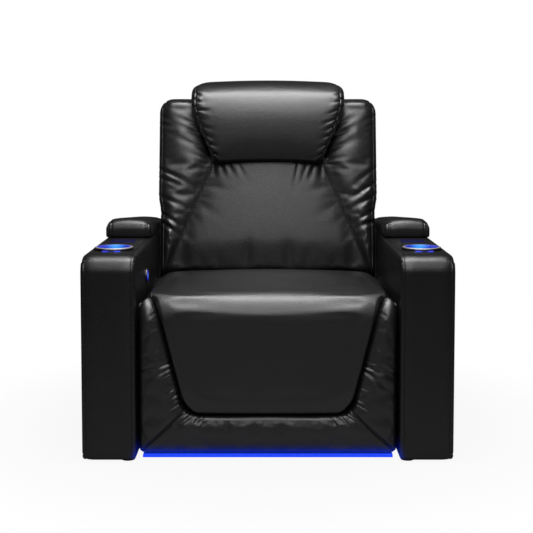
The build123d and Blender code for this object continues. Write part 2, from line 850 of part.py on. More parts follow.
def knee_roll():
    """Foam roll round the footrest hinge tube that the cover bends over."""
    low = footrest_hinge[1] + hinge_tube_radius
    face = footrest_hinge[1] + knee_radius - knee_crown
    outline = slice_across(
        seat_plane(footrest_hinge[0]), -seat_half, seat_half, low, face, knee_crown, 1.5
    )
    axis = Axis((0, fore(footrest_hinge[0]), footrest_hinge[1]), (1, 0, 0))
    rear = extrude(outline, seat_rail_start - footrest_hinge[0], dir=(0, 1, 0))
    return revolve(outline, axis, 90.0) + rear


# ---- footrest ----


def pad_half(z):
    """Half width of the footrest's centre pad, which narrows towards its foot."""
    share = (z - pad_bottom_z) / (footrest_hinge[1] - pad_bottom_z)
    return pad_bottom_half + share * (pad_top_half - pad_bottom_half)


def mitre_half(z):
    """Half width of the bottom band along the mitred seam."""
    start = pad_bottom_z + mitre_rise
    share = (start - z) / (start - footrest_bottom)
    return pad_bottom_half + crease + share * (footrest_half - pad_bottom_half - crease)


footrest_top = footrest_hinge[1] - 2 * soft_gap
footrest_board_top = footrest_hinge[1] - footrest_board_drop


def pad_flat(z):
    """Back of the pads: on the board, and clear of the hinge tube above it."""
    if z <= footrest_board_top:
        return soft_gap / 2
    to_tube = footrest_board_depth - footrest_hinge[0] + hinge_tube_radius
    return to_tube + leg_pad_tube_gap


def footrest_pad():
    """Crowned centre pad, a trapezoid with its lower corners rounded off."""
    rise = footrest_top - pad_bottom_z
    stations = []
    for share, face, crown, trim in (
        (1.0, 1.0, 1.0, 0.0),
        (0.805, 1.0, 1.0, 0.0),
        (0.525, 0.98, 1.0, 0.0),
        (0.125, 0.94, 0.9, 0.08),
        (0.033, 0.84, 0.72, 0.42),
        (0.0, 0.6, 0.45, 1.0),
    ):
        z = pad_bottom_z + share * rise
        half = pad_half(z) - trim * leg_pad_corner
        stations.append((z, -half, half, pad_flat(z), face * leg_pad, crown * leg_pad_crown, 1))
    return cushion(leg_plane, stations)


def footrest_bolsters():
    """Side bolsters; their lower ends are cut to the mitred seam."""
    rise = footrest_top - bolster_foot
    outer = footrest_half - bolster_side_gap
    stations = []
    for share, face, crown in (
        (1.0, 0.84, 0.89),
        (0.85, 0.92, 1.0),
        (0.545, 0.92, 1.0),
        (0.317, 0.88, 0.89),
        (0.115, 0.84, 0.67),
        (0.0, 0.72, 0.45),
    ):
        z = bolster_foot + share * rise
        inner = max(pad_half(z), mitre_half(z)) + crease
        stations.append((z, inner, outer, pad_flat(z), face * leg_pad, crown * bolster_crown, 1.5))
    return both(cushion(leg_plane, stations))


def footrest_band():
    """Bottom band between the two mitred seams."""
    rise = pad_bottom_z - crease - footrest_bottom
    stations = []
    for share, face, crown in (
        (1.0, 0.8, 0.8),
        (0.825, 0.9, 1.0),
        (0.42, 0.92, 1.0),
        (0.08, 0.84, 0.8),
        (0.0, 0.68, 0.6),
    ):
        z = footrest_bottom + share * rise
        half = min(mitre_half(z), footrest_half - bolster_side_gap - soft_gap)
        stations.append((z, -half, half, pad_flat(z), face * leg_pad, crown * band_crown, 0.5))
    return cushion(leg_plane, stations)


def footrest_board():
    d_span = (footrest_board_depth, footrest_board_depth + footrest_board_thick)
    board = block((-board_half, board_half), d_span, (footrest_bottom, footrest_board_top))
    return fillet(board.edges().filter_by(Axis.Y), footrest_board_round)


def footrest_arms():
    """Steel arms on the board's edges, from the hinge down past the link's pin."""
    front = footrest_board_depth + 2 * soft_gap
    hub = (link_wide + link_gap) / 2
    outline = [
        (front, leg_arm_foot),
        (front + leg_arm_wide, leg_arm_foot),
        (front_joint[0] + hub, front_joint[1] - link_pin_radius),
        (footrest_hinge[0] + hub + link_pin_radius, footrest_hinge[1] + hub),
        (front, footrest_hinge[1] + hub),
    ]
    x_span = (link_inner, link_inner + plate_thick)
    arm = side_prism(outline, x_span, radius=leg_arm_round)
    arm -= pin(x_span, footrest_hinge, pin_radius + pivot_gap)
    return both(arm + pin((link_inner, coupler_inner + plate_thick), front_joint, link_pin_radius))


light_half = footrest_half - light_side_gap
light_z = (footrest_bottom - light_size, footrest_bottom)
channel_front = footrest_board_depth - light_setback - light_channel_deep


def light_channel():
    return block((-light_half, light_half), (channel_front, channel_front + light_channel_deep), light_z)


def light_diffuser():
    bar = block((-light_half, light_half), (channel_front - diffuser_deep, channel_front), light_z)
    front = bar.faces().sort_by(Axis.Y)[0]
    return fillet(front.edges().filter_by(Axis.X), diffuser_round)


# ---- back ----


def seam_half(along):
    """Half width of the back's centre pad, out to the sewn seam."""
    share = min(along, seam_top) / seam_top
    return seam_bottom_half + share * (seam_top_half - seam_bottom_half)


def headrest_slot():
    half = headrest_slot_half
    along = (headrest_hinge[0] - half - headrest_slot_gap, headrest_hinge[0] + half + headrest_slot_gap)
    return back_block((-half, half), along, (-2 * soft_gap, 2 * back_pad))


def back_centre_pad():
    long = seam_top - crease / 2 - back_pad_start
    stations = []
    for share, face, crown in (
        (0.0, 0.88, 0.67),
        (0.155, 1.0, 1.0),
        (0.41, 1.0, 1.0),
        (0.725, 1.0, 0.83),
        (0.925, 0.88, 0.67),
        (1.0, 0.72, 0.33),
    ):
        along = back_pad_start + share * long
        half = seam_half(along)
        stations.append((along, -half, half, 0, face * back_pad, crown * back_pad_crown, 0.5))
    return cushion(back_plane, stations) - headrest_slot()


def back_upper_pad():
    """Thinner pad behind the headrest."""
    start = seam_top + 2 * soft_gap
    stations = []
    for share, face in ((0.0, 0.92), (0.18, 1.0), (0.72, 1.0), (1.0, 0.85)):
        along = start + share * (back_length - start)
        half = seam_top_half
        stations.append((along, -half, half, 0, face * upper_pad, upper_pad_crown, 0.5))
    return cushion(back_plane, stations) - headrest_slot()


def back_wings():
    """Side bolsters of the back, outside the two seams."""
    long = back_length - back_pad_start
    stations = []
    for share, face, crown, trim in (
        (0.0, 0.76, 0.25, 4),
        (0.095, 0.91, 0.42, 1),
        (0.253, 0.97, 0.75, 1),
        (0.446, 1.0, 1.0, 1),
        (0.618, 1.0, 1.0, 1),
        (0.779, 0.97, 1.0, 1),
        (0.937, 0.88, 0.83, 1),
        (1.0, 0.67, 0.5, 1),
    ):
        along = back_pad_start + share * long
        inner = min(seam_half(along) + crease, back_half - wing_least_wide)
        outer = back_half - trim * wing_trim
        stations.append((along, inner, outer, 0, face * wing_pad, crown * wing_crown, 1))
    return both(cushion(back_plane, stations))


def shell_loft(inset, start, end):
    """Rounded rear form of the back, drawn in by an inset."""
    stations = []
    for along, deep, trim in (
        (start, 0.82, back_shell_lip),
        (0.26 * back_length, 0.95, 0),
        (0.694 * back_length, 1.0, 0),
        (end, 0.82, back_shell_wall),
    ):
        half = back_half - trim - inset
        face = inset - deep * back_shell_deep
        stations.append((along, -half, half, -soft_gap, face, back_shell_crown, 1))
    return cushion(back_plane, stations, ruled=False)


def back_shell():
    """Upholstered rear shell, open towards the pads and at its foot."""
    outer = shell_loft(0.0, 0.0, back_length)
    below = -back_shell_wall / 2
    inner = shell_loft(back_shell_wall, below, back_length - back_shell_wall)
    half = back_half - back_shell_wall - back_shell_lip
    mouth = back_block((-half, half), (below, back_length - back_shell_wall), (below, soft_gap))
    return outer - inner - mouth


rail_rear = -back_frame_gap - stile_deep
rail_front = rail_rear + back_rail_deep


def back_stiles():
    x_span = (stile_outer - stile_wide, stile_outer)
    return both(back_block(x_span, (0, back_length - stile_top_gap), (rail_rear, -back_frame_gap)))


def back_rails():
    """Three rails across the stiles, and the board that the headrest's actuator hangs on."""
    half = stile_outer - stile_wide
    clevis = headrest_clevis_along()
    foot_of_clevis = headrest_actuator_ahead() - lug_long
    rails = back_block(
        (-half, half), (clevis - lug_long, clevis + lug_long), (foot_of_clevis - arm_board, foot_of_clevis)
    )
    for along in (0, upper_rail_along, back_length - stile_top_gap - back_rail_high):
        rails += back_block((-half, half), (along, along + back_rail_high), (rail_rear, rail_front))
    return rails


def back_webbing():
    """Four level straps across the stiles, clear of the headrest's slot."""
    last = headrest_hinge[0] - back_strap_drop
    middle = (back_strap_start + last) / 2
    straps = Part()
    for along in (back_strap_start, middle, last, back_length - top_strap_drop):
        along_span = (along, along + webbing_wide)
        straps += back_block((-stile_outer, stile_outer), along_span, (-back_frame_gap, -soft_gap))
    return straps


def back_brackets():
    """Hinge brackets on the stiles, and the recline crank under the lowest rail."""
    x_span = (stile_outer, plate_inner - bracket_gap)
    on_stile = back_place(bracket_along, -back_frame_gap - stile_deep / 2)
    bar = link(back_hinge, on_stile, bracket_wide, x_span)
    return both(bar - pin(x_span, back_hinge, pin_radius + pivot_gap)) + recline_crank_arm()


def recline_crank_arm():
    """Crank under the back's lowest rail, with the recline actuator's pin."""
    x_span = crank_span(recline_crank_x)
    on_rail = back_place(-back_frame_gap, (rail_rear + rail_front) / 2)
    arm = link(on_rail, recline_crank_pin, recline_crank_wide, x_span)
    arm -= back_block((0, 2 * recline_crank_x), (0, back_rail_high), (-2 * stile_deep, stile_deep))
    return arm + pin(crank_pin_span(recline_crank_x), recline_crank_pin, crank_pin_radius)


# ---- headrest ----


def headrest_bracket():
    """Two ears from the upper rail forward to the headrest's hinge, and its pin."""
    along, ahead = headrest_hinge
    low = upper_rail_along + back_frame_gap
    high = low + back_rail_high / 2
    outline = [
        (low, rail_front),
        (high, rail_front),
        (high, -2 * ear_step),
        (along + ear_throat, -ear_step),
        (along + ear_waist, 2 * ear_step),
        (along + ear_hub, ahead + ear_hub),
        (along - ear_hub, ahead + ear_hub),
        (along - ear_hub, rail_front + ear_step),
    ]
    points = [back_place(a, b) for a, b in outline]
    outer = ear_inner + ear_thick
    ear = side_prism(points, (ear_inner, outer), radius=ear_thick / 2)
    return both(ear) + pin((-outer - link_gap, outer + link_gap), headrest_pivot, pin_radius)


def headrest_arm():
    """Barrel, plate behind the board and crank of the headrest."""
    along, ahead = headrest_hinge
    x_span = (-barrel_half, barrel_half)
    thick = headrest_plate_thick / 2
    arm = pin(x_span, headrest_pivot, barrel_radius)
    arm += back_block(x_span, (along, along + headrest_plate_long), (ahead - thick, ahead + thick))
    arm += link(headrest_pivot, headrest_crank_pin, headrest_crank_wide, crank_span(headrest_crank_x))
    arm += pin(crank_pin_span(headrest_crank_x), headrest_crank_pin, crank_pin_radius)
    return arm - pin(x_span, headrest_pivot, pin_radius + pivot_gap)


def headrest_board():
    half = headrest_bottom_half - headrest_board_inset
    start = headrest_hinge[1] + headrest_plate_thick / 2
    along = (headrest_hinge[0] + headrest_board_rise, headrest_board_end)
    return back_block((-half, half), along, (start, start + headrest_board_thick))


def headrest_cushion():
    """Pillow that widens upwards, with a roll that reaches back over the back's top."""
    rise = headrest_end - headrest_start
    stations = []
    for share, face, crown in (
        (0.0, 0.4, 0.53),
        (0.1, 0.75, 0.8),
        (0.35, 0.97, 1.0),
        (0.68, 1.0, 1.0),
        (0.9, 0.85, 0.8),
        (1.0, 0.5, 0.4),
    ):
        half = headrest_bottom_half + min(share / 0.9, 1.0) * (headrest_top_half - headrest_bottom_half)
        front = headrest_back + face * headrest_pad
        along = headrest_start + share * rise
        stations.append((along, -half, half, headrest_back, front, crown * headrest_crown, 2))
    pillow = cushion(back_plane, stations, ruled=False)
    start = back_length + headrest_roll_gap
    rise = headrest_end - headrest_roll_gap - start
    roll = []
    for share, reach, half in ((0.0, 0.85, 0.93), (0.53, 1.0, 0.95), (1.0, 0.4, 0.9)):
        wide = half * headrest_top_half
        lap = headrest_back + headrest_roll_lap
        roll.append((start + share * rise, -wide, wide, lap, -reach * headrest_roll, 5, 1))
    return pillow + cushion(back_plane, roll)


# ---- electrics and rear skirt ----


def control_box():
    top = base_rail_z + cross_tube_size
    x_span = (control_box_x, control_box_x + control_box_wide)
    d_span = (rear_tube_middle - control_box_deep / 2, rear_tube_middle + control_box_deep / 2)
    box = block(x_span, d_span, (top, top + control_box_high))
    return fillet(box.edges().filter_by(Axis.Z), control_box_round)


def power_inlet():
    x = control_box_x + control_box_wide / 2
    rear = rear_tube_middle + control_box_deep / 2
    z = base_rail_z + cross_tube_size + control_box_high / 2
    mouth = rear + inlet_long - inlet_bore_deep / 2
    jack = Pos(x, fore(rear + inlet_long / 2), z) * Rot(90, 0, 0) * Cylinder(inlet_radius, inlet_long)
    return jack - Pos(x, fore(mouth), z) * Rot(90, 0, 0) * Cylinder(inlet_bore, inlet_bore_deep)


def rear_skirt():
    rear = overall_depth - skirt_setback
    return block((-arm_inner, arm_inner), (rear - skirt_thick, rear), (skirt_bottom, skirt_top))


def base_nodes():
    footrest_plane = level_plane(footrest_crank_x, footrest_yoke, True)
    recline_plane = level_plane(recline_crank_x, recline_yoke, False)
    footrest_back = clevis_back(rod_reach, footrest_bore)
    recline_back = clevis_back(recline_reach, recline_bore)
    clevises = actuator_clevis(footrest_plane, footrest_back, bar_top - footrest_yoke[1])
    clevises += actuator_clevis(recline_plane, recline_back, recline_yoke[1] - bar_top)
    tall = gearbox_tall
    return {
        "floor_glides": floor_glides(),
        "base_rails": base_rails(),
        "cross_tubes": base_cross_tubes() + actuator_bars(),
        "side_plates": side_plates(),
        "footrest_hinge_tube": hinge_tube(),
        "hinge_pins": hinge_pins(),
        "actuator_clevises": clevises,
        "footrest_actuator": actuator_body(footrest_plane, rod_reach, footrest_bore, tall, -1),
        "recline_actuator": actuator_body(recline_plane, recline_reach, recline_bore, tall, 1),
        "seat_side_rails": seat_side_rails(),
        "seat_cross_rails": seat_cross_rails(),
        "seat_webbing": seat_webbing(),
        "seat_cushion": seat_cushion(),
        "knee_roll": knee_roll(),
        "control_box": control_box() + power_inlet(),
        "rear_skirt": rear_skirt(),
        "switch_housing": switch_housing(),
    }


def arm_nodes():
    """Every arm piece once on each side of the seat, or as a pair in one node."""
    nodes = {}
    for piece, make in (
        ("arm_cover", arm_cover),
        ("cup_holder", cup_holder),
        ("lid_board", lid_board),
        ("lid_leaf", lid_leaf),
        ("lid_pad", lid_pad),
    ):
        right = make()
        left = mirror(right, about=Plane.YZ)
        if piece == "arm_cover":
            left -= switch_void()
        nodes[f"right_{piece}"] = right
        nodes[f"left_{piece}"] = left
    nodes["arm_frames"] = both(arm_frame()) - switch_void()
    nodes["storage_bins"] = both(storage_bin())
    nodes["cup_lights"] = both(cup_light())
    nodes["touch_crescents"] = both(touch_crescent())
    nodes["dock_plates"] = both(dock_plate())
    nodes["lid_fixed_leaves"] = both(lid_fixed_leaf())
    return nodes


def moving_nodes():
    footrest_plane = level_plane(footrest_crank_x, footrest_yoke, True)
    recline_plane = level_plane(recline_crank_x, recline_yoke, False)
    footrest_lift = crank_lift(footrest_crank, footrest_travel)
    recline_lift = crank_lift(recline_crank, back_travel)
    footrest_inside = footrest_bore - rod_end_gap
    recline_inside = rod_reach - rod_end_gap
    return {
        "drive_shaft": drive_shaft(),
        "right_coupler_link": coupler_link(),
        "left_coupler_link": mirror(coupler_link(), about=Plane.YZ),
        "footrest_rod": actuator_rod(footrest_plane, footrest_lift, rod_reach, footrest_inside),
        "recline_rod": actuator_rod(recline_plane, recline_lift, recline_reach, recline_inside),
        "footrest_board": footrest_board(),
        "footrest_pad": footrest_pad(),
        "footrest_bolsters": footrest_bolsters(),
        "footrest_band": footrest_band(),
        "footrest_arms": footrest_arms(),
        "light_channel": light_channel(),
        "light_diffuser": light_diffuser(),
        "switch_button_open": switch_button(True),
        "switch_button_close": switch_button(False),
    }


def back_nodes():
    plane = headrest_actuator_plane()
    lift = crank_lift(headrest_crank, headrest_travel)
    back = clevis_back(rod_reach, headrest_bore)
    body = actuator_body(plane, rod_reach, headrest_bore, small_gearbox_tall, -1)
    return {
        "back_stiles": back_stiles(),
        "back_rails": back_rails(),
        "back_webbing": back_webbing(),
        "back_brackets": back_brackets(),
        "back_centre_pad": back_centre_pad() + back_upper_pad(),
        "back_wings": back_wings(),
        "back_shell": back_shell(),
        "headrest_bracket": headrest_bracket(),
        "headrest_actuator": body,
        "headrest_clevis": actuator_clevis(plane, back, lug_long),
        "headrest_rod": actuator_rod(plane, lift, rod_reach, headrest_bore - rod_end_gap),
        "headrest_carrier": headrest_arm() + headrest_board(),
        "headrest_pad": headrest_cushion(),
    }


if __name__ == "__main__":
    os.makedirs("parts", exist_ok=True)
    for name, shape in {**base_nodes(), **arm_nodes(), **moving_nodes(), **back_nodes()}.items():
        export_step(shape, f"parts/{name}.step")
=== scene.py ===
import bpy
import bmesh
import json
import math
import numpy as np
from mathutils import Matrix, Vector
from mathutils.bvhtree import BVHTree


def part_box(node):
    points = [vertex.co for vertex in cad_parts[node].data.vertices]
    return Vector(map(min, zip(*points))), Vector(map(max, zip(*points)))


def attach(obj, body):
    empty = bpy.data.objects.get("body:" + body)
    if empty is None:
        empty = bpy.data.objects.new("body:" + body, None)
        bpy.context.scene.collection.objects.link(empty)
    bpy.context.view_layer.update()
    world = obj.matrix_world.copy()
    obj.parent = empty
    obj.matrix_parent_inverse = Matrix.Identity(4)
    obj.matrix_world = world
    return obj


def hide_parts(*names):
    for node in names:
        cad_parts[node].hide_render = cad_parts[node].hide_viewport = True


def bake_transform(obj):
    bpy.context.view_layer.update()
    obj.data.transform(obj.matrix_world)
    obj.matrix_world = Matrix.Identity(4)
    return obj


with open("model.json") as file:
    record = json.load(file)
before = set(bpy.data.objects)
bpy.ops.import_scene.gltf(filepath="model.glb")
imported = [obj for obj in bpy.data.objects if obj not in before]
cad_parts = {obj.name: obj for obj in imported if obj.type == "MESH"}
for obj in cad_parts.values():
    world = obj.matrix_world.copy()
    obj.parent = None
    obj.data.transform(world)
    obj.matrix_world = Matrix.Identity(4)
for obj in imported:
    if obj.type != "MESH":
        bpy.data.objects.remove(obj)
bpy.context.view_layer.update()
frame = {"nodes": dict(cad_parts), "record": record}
armLow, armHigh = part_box("right_arm_cover")
armMiddle = (armLow.x + armHigh.x) / 2


# places on the seat: depth is measured back from the fronts of the arms

seat = {
    "front": armLow.y,
    "hingeDepth": 0.085,
    "hingeHeight": 0.365,
    "boardDepth": 0.068,
    "boardGap": 0.0015,
    "kneeGap": 0.012,
    "rollLength": 0.072 * math.pi / 2,
}
back = {
    "rake": math.radians(11.0),
    "footDepth": 0.640,
    "footHeight": 0.400,
}


def legPlace(x, t, h):
    # t runs down the footrest from the knee; negative t goes round the knee roll and over the seat
    reach = seat["hingeDepth"] - seat["boardDepth"] + h
    turn = np.clip(-t / seat["rollLength"], 0, 1) * math.pi / 2
    depth = seat["hingeDepth"] - reach * np.cos(turn) + np.maximum(-t - seat["rollLength"], 0)
    height = seat["hingeHeight"] + reach * np.sin(turn) - np.maximum(t, 0)
    return np.stack(np.broadcast_arrays(x, depth + seat["front"], height), axis=-1)


def backPlace(x, along, ahead):
    # along runs up the leaning back, ahead towards the sitter
    sine, cosine = math.sin(back["rake"]), math.cos(back["rake"])
    depth = back["footDepth"] + along * sine - ahead * cosine
    height = back["footHeight"] + along * cosine + ahead * sine
    return np.stack(np.broadcast_arrays(x, depth + seat["front"], height), axis=-1)


# shader nodes as Python expressions


class Wire:
    def __init__(self, finish, socket):
        self.finish, self.socket = finish, socket

    def math(self, operation, first, second):
        return self.finish.add("ShaderNodeMath", {"operation": operation}, {0: first, 1: second})

    def __add__(self, other):
        return self.math("ADD", self, other)

    def __mul__(self, other):
        return self.math("MULTIPLY", self, other)

    def __sub__(self, other):
        return self.math("SUBTRACT", self, other)

    def __rsub__(self, other):
        return self.math("SUBTRACT", other, self)

    def __gt__(self, other):
        return self.math("GREATER_THAN", self, other)

    def __abs__(self):
        return self.math("ABSOLUTE", self, 0.0)

    __radd__, __rmul__ = __add__, __mul__


class Finish:
    def __init__(self, name):
        self.material = bpy.data.materials.new(name)
        self.material.use_nodes = True
        self.tree = self.material.node_tree
        self.shader = self.tree.nodes["Principled BSDF"]

    def add(self, kind, settings=None, values=None, out=0):
        node = self.tree.nodes.new(kind)
        for key, value in (settings or {}).items():
            setattr(node, key, value)
        for key, value in (values or {}).items():
            self.plug(node.inputs[key], value)
        return Wire(self, node.outputs[out])

    def plug(self, socket, value):
        if isinstance(value, Wire):
            self.tree.links.new(value.socket, socket)
        else:
            socket.default_value = value

    def set(self, **values):
        for key, value in values.items():
            self.plug(self.shader.inputs[key.replace("_", " ")], value)

    def place(self, axis=None):
        point = self.add("ShaderNodeTexCoord", out=3)
        if axis is None:
            return point
        return self.add("ShaderNodeSeparateXYZ", {}, {0: point}, out="XYZ".index(axis))

    def noise(self, scale, detail=3.0, roughness=0.5, vector=None):
        values = {"Vector": vector or self.place(), "Scale": scale, "Detail": detail, "Roughness": roughness}
        return self.add("ShaderNodeTexNoise", {}, values)

    def mix(self, factor, first, second):
        values = {0: factor, 6: first, 7: second}
        return self.add("ShaderNodeMix", {"data_type": "RGBA"}, values, out=2)

    def ramp(self, value, start, stop, low=0.0, high=1.0, kind="LINEAR"):
        values = {0: value, 1: start, 2: stop, 3: low, 4: high}
        return self.add("ShaderNodeMapRange", {"interpolation_type": kind}, values)

    def bump(self, height, strength, distance):
        values = {"Height": height, "Strength": strength, "Distance": distance}
        return self.add("ShaderNodeBump", {}, values)

    def figure(self, name):
        return self.add("ShaderNodeAttribute", {"attribute_name": name}, out=2)


def grey(value, warm=1.0):
    return (value * warm, value, value * (2 - warm), 1)


glowBlue = (0.0, 0.045, 1.0, 1)


def leather(name, shade=0.0055, rough=0.37, shine=0.70, glow=False):
    # smooth-grain upholstery leather: pebbles, pores, small creases and slow changes of gloss
    finish = Finish(name)
    pebble = finish.add(
        "ShaderNodeTexVoronoi",
        {"feature": "SMOOTH_F1"},
        {"Vector": finish.place(), "Scale": 420.0, "Smoothness": 0.5},
    )
    cloud = finish.noise(7.0, 4.0)
    speck = finish.noise(340.0, 4.0, 0.62)
    drawn = finish.noise(55.0, 3.0, 0.55)
    height = pebble * 0.5 + speck * 1.1 + drawn * 0.4
    finish.set(
        Base_Color=finish.mix(cloud, grey(shade * 0.75), grey(shade * 1.35, 1.02)),
        Roughness=cloud * 0.08 + speck * 0.14 + (rough - 0.11),
        Normal=finish.bump(height, 0.45, 0.0009),
        IOR=1.5,
        Specular_IOR_Level=shine,
    )
    # painted light: the blue strip's light on this leather is painted in as emission, as strong as the
    # figure kept on the points
    if glow:
        lit = finish.mix(finish.figure("glow"), grey(0.0), glowBlue)
        finish.set(Emission_Color=lit, Emission_Strength=1.0)
    return finish.material


def thread(name, shade=0.0035):
    finish = Finish(name)
    twist = finish.noise(2600.0, 1.0)
    finish.set(
        Base_Color=finish.mix(twist, grey(shade), grey(shade * 2.6)),
        Roughness=twist * 0.2 + 0.65,
        Specular_IOR_Level=0.15,
    )
    return finish.material


def metal(name, colour, rough, spread):
    finish = Finish(name)
    streak = finish.noise(40.0, 4.0)
    fine = finish.noise(900.0, 2.0)
    finish.set(
        Base_Color=finish.mix(streak, (*[c * 0.82 for c in colour], 1), (*colour, 1)),
        Metallic=1.0,
        Roughness=streak * spread + fine * spread + rough,
        Normal=finish.bump(fine, 0.1, 0.0002),
    )
    return finish.material


def coated(name, colour, rough, grain, scale=700.0):
    # moulded plastic and powder coat: one colour with a fine orange peel
    finish = Finish(name)
    slow = finish.noise(14.0, 3.0)
    finish.set(
        Base_Color=finish.mix(slow, (*[c * 0.8 for c in colour], 1), (*colour, 1)),
        Roughness=slow * 0.12 + rough,
        Normal=finish.bump(finish.noise(scale, 2.0), grain, 0.0004),
    )
    return finish.material


def plywood(name):
    # coloured near black with faint brown rings; it shows in the gaps between the cushions
    finish = Finish(name)
    grain = finish.add("ShaderNodeMapping", {}, {"Vector": finish.place(), "Scale": (6.0, 6.0, 60.0)})
    rings = finish.noise(3.0, 6.0, 0.62, grain)
    fleck = finish.noise(90.0, 3.0, 0.6, grain)
    finish.set(
        Base_Color=finish.mix(rings, (0.012, 0.010, 0.009, 1), (0.030, 0.025, 0.020, 1)),
        Roughness=fleck * 0.2 + 0.55,
        Normal=finish.bump(fleck, 0.2, 0.0006),
    )
    return finish.material


def strap(name):
    finish = Finish(name)
    weave = finish.add(
        "ShaderNodeTexWave",
        {"wave_type": "BANDS", "bands_direction": "DIAGONAL"},
        {"Vector": finish.place(), "Scale": 260.0, "Distortion": 1.5},
        out=1,
    )
    finish.set(
        Base_Color=finish.mix(weave, grey(0.02), grey(0.07)),
        Roughness=0.85,
        Normal=finish.bump(weave, 0.5, 0.0006),
    )
    return finish.material


cupLow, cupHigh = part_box("right_cup_holder")
# where the cup's painted blue light and the rim's painted shine and shade lie, and their colours
cupFinish = {
    "middleY": (cupLow.y + cupHigh.y) / 2,
    "litRadius": 0.0465,
    "litLow": 0.500,
    "litHigh": 0.551,
    "deepBlue": (0.0, 0.016, 0.55, 1),
    "paleBlue": (0.04, 0.33, 1.0, 1),
    "shineLow": cupHigh.z - 0.0024,
    "shineHigh": cupHigh.z - 0.0008,
}


def cupMetal(name):
    # silver rim; its inner slope and the wall below are dark, with the blue ring's reflection painted on as
    # light, palest at the middle
    finish = Finish(name)
    aside = abs(abs(finish.place("X")) - armMiddle)
    away = finish.place("Y") - cupFinish["middleY"]
    rim = (aside * aside + away * away) > cupFinish["litRadius"] ** 2
    fine = finish.noise(900.0, 2.0)
    lit = finish.ramp(finish.place("Z"), cupFinish["litLow"], cupFinish["litHigh"]) * (1 - rim)
    middle = finish.ramp(aside, 0.0, 0.032, 1.0, 0.0, "SMOOTHSTEP")
    glow = finish.mix(middle, cupFinish["deepBlue"], cupFinish["paleBlue"])
    # painted shade: the rim is painted dark below its top edge, so that only its crest shows silver
    paintedCrestShine = finish.ramp(finish.place("Z"), cupFinish["shineLow"], cupFinish["shineHigh"], 0.04, 1.0)
    finish.set(
        Base_Color=finish.mix(rim * paintedCrestShine, (0.004, 0.006, 0.02, 1), (0.56, 0.54, 0.51, 1)),
        Metallic=rim,
        Roughness=fine * 0.08 + 0.62 - rim * 0.15,
        Emission_Color=finish.mix(lit, grey(0.0), glow),
        Emission_Strength=1.0,
    )
    return finish.material


def lamp(name, cool=glowBlue, hot=glowBlue, halfWide=0.030):
    # blue light guide, paler over its diodes in the middle of each arm
    finish = Finish(name)
    aside = abs(abs(finish.place("X")) - armMiddle)
    middle = finish.ramp(aside, 0.0, halfWide, 1.0, 0.0, "SMOOTHSTEP")
    spark = finish.noise(300.0, 1.0)
    finish.set(
        Base_Color=(0.002, 0.006, 0.06, 1),
        Roughness=spark * 0.2 + 0.5,
        Emission_Color=finish.mix(middle, cool, hot),
        Emission_Strength=1.0,
    )
    return finish.material


switchLow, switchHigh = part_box("switch_housing")
switchMiddle = (switchLow + switchHigh) / 2


def buttonLight(name):
    # translucent button half, brightest next to the middle of the switch
    finish = Finish(name)
    up = finish.place("Z") - switchMiddle.z
    away = finish.place("Y") - switchMiddle.y
    far = finish.ramp(up * up + away * away, 0.0, 0.015**2, 1.0, 0.0)
    spark = finish.noise(400.0, 1.0)
    finish.set(
        Base_Color=(0.003, 0.004, 0.05, 1),
        Roughness=spark * 0.2 + 0.3,
        Emission_Color=finish.mix(far * far * far, (0.0, 0.004, 0.42, 1), (0.16, 0.30, 1.0, 1)),
        Emission_Strength=1.0,
    )
    return finish.material


def crescentLight(name):
    # dark smoked strip that shines through at its two ends
    finish = Finish(name)
    aside = abs(abs(finish.place("X")) - armMiddle)
    end = finish.ramp(aside, 0.005, 0.013)
    spark = finish.noise(120.0, 2.0)
    finish.set(
        Base_Color=(0.004, 0.004, 0.02, 1),
        Roughness=spark * 0.1 + 0.6,
        Emission_Color=finish.mix(end, (0.0, 0.002, 0.09, 1), (0.035, 0.06, 0.95, 1)),
        Emission_Strength=1.0,
    )
    return finish.material


def darkGlass(name):
    # painted light: a faint blue glow is painted into this dark glass as emission, in patches
    finish = Finish(name)
    haze = finish.noise(25.0, 3.0)
    finish.set(
        Base_Color=finish.mix(haze, (0.008, 0.008, 0.02, 1), (0.016, 0.014, 0.035, 1)),
        Roughness=haze * 0.08 + 0.05,
        Emission_Color=finish.mix(haze, (0.0, 0.0, 0.01, 1), (0.003, 0.004, 0.06, 1)),
        Emission_Strength=1.0,
    )
    return finish.material


black = leather("blackLeather")
# the next two are copies of the black leather with the strip's blue light painted on; the second also has
# less specular and lower roughness
blackPaintedLit = leather("blackLeatherPaintedLit", glow=True)
boxLeather = leather("boxLeather", rough=0.33, shine=0.50, glow=True)
stitchThread = thread("blackThread")
pipingLeather = leather("pipingLeather", shade=0.009, rough=0.34)
finishes = {
    "leather": black,
    "polished_metal": metal("bezelMetal", (0.80, 0.77, 0.73), 0.16, 0.04),
    "zinc_steel": metal("zincSteel", (0.62, 0.62, 0.60), 0.30, 0.10),
    "rod_steel": metal("rodSteel", (0.72, 0.72, 0.73), 0.16, 0.06),
    "aluminium_profile": metal("aluminium", (0.55, 0.55, 0.56), 0.32, 0.08),
    "black_steel": coated("blackSteel", (0.03, 0.03, 0.032), 0.42, 0.12),
    "dark_plastic": coated("darkPlastic", (0.028, 0.028, 0.03), 0.5, 0.22, 900.0),
    "dark_glass": darkGlass("darkGlass"),
    "plywood": plywood("darkPlywood"),
    "webbing": strap("elasticStrap"),
    "blue_light": lamp("blueLight"),
}
cupSilver, buttonBlue = cupMetal("cupMetal"), buttonLight("buttonLight")
ownFinishes = {
    "cup_lights": lamp("cupRingLight", (0.0, 0.03, 0.8, 1), cupFinish["paleBlue"]),
    "touch_crescents": crescentLight("crescentLight"),
    "left_cup_holder": cupSilver,
    "right_cup_holder": cupSilver,
    "switch_button_open": buttonBlue,
    "switch_button_close": buttonBlue,
    "switch_housing": metal("switchBezel", (0.13, 0.12, 0.11), 0.34, 0.06),
}
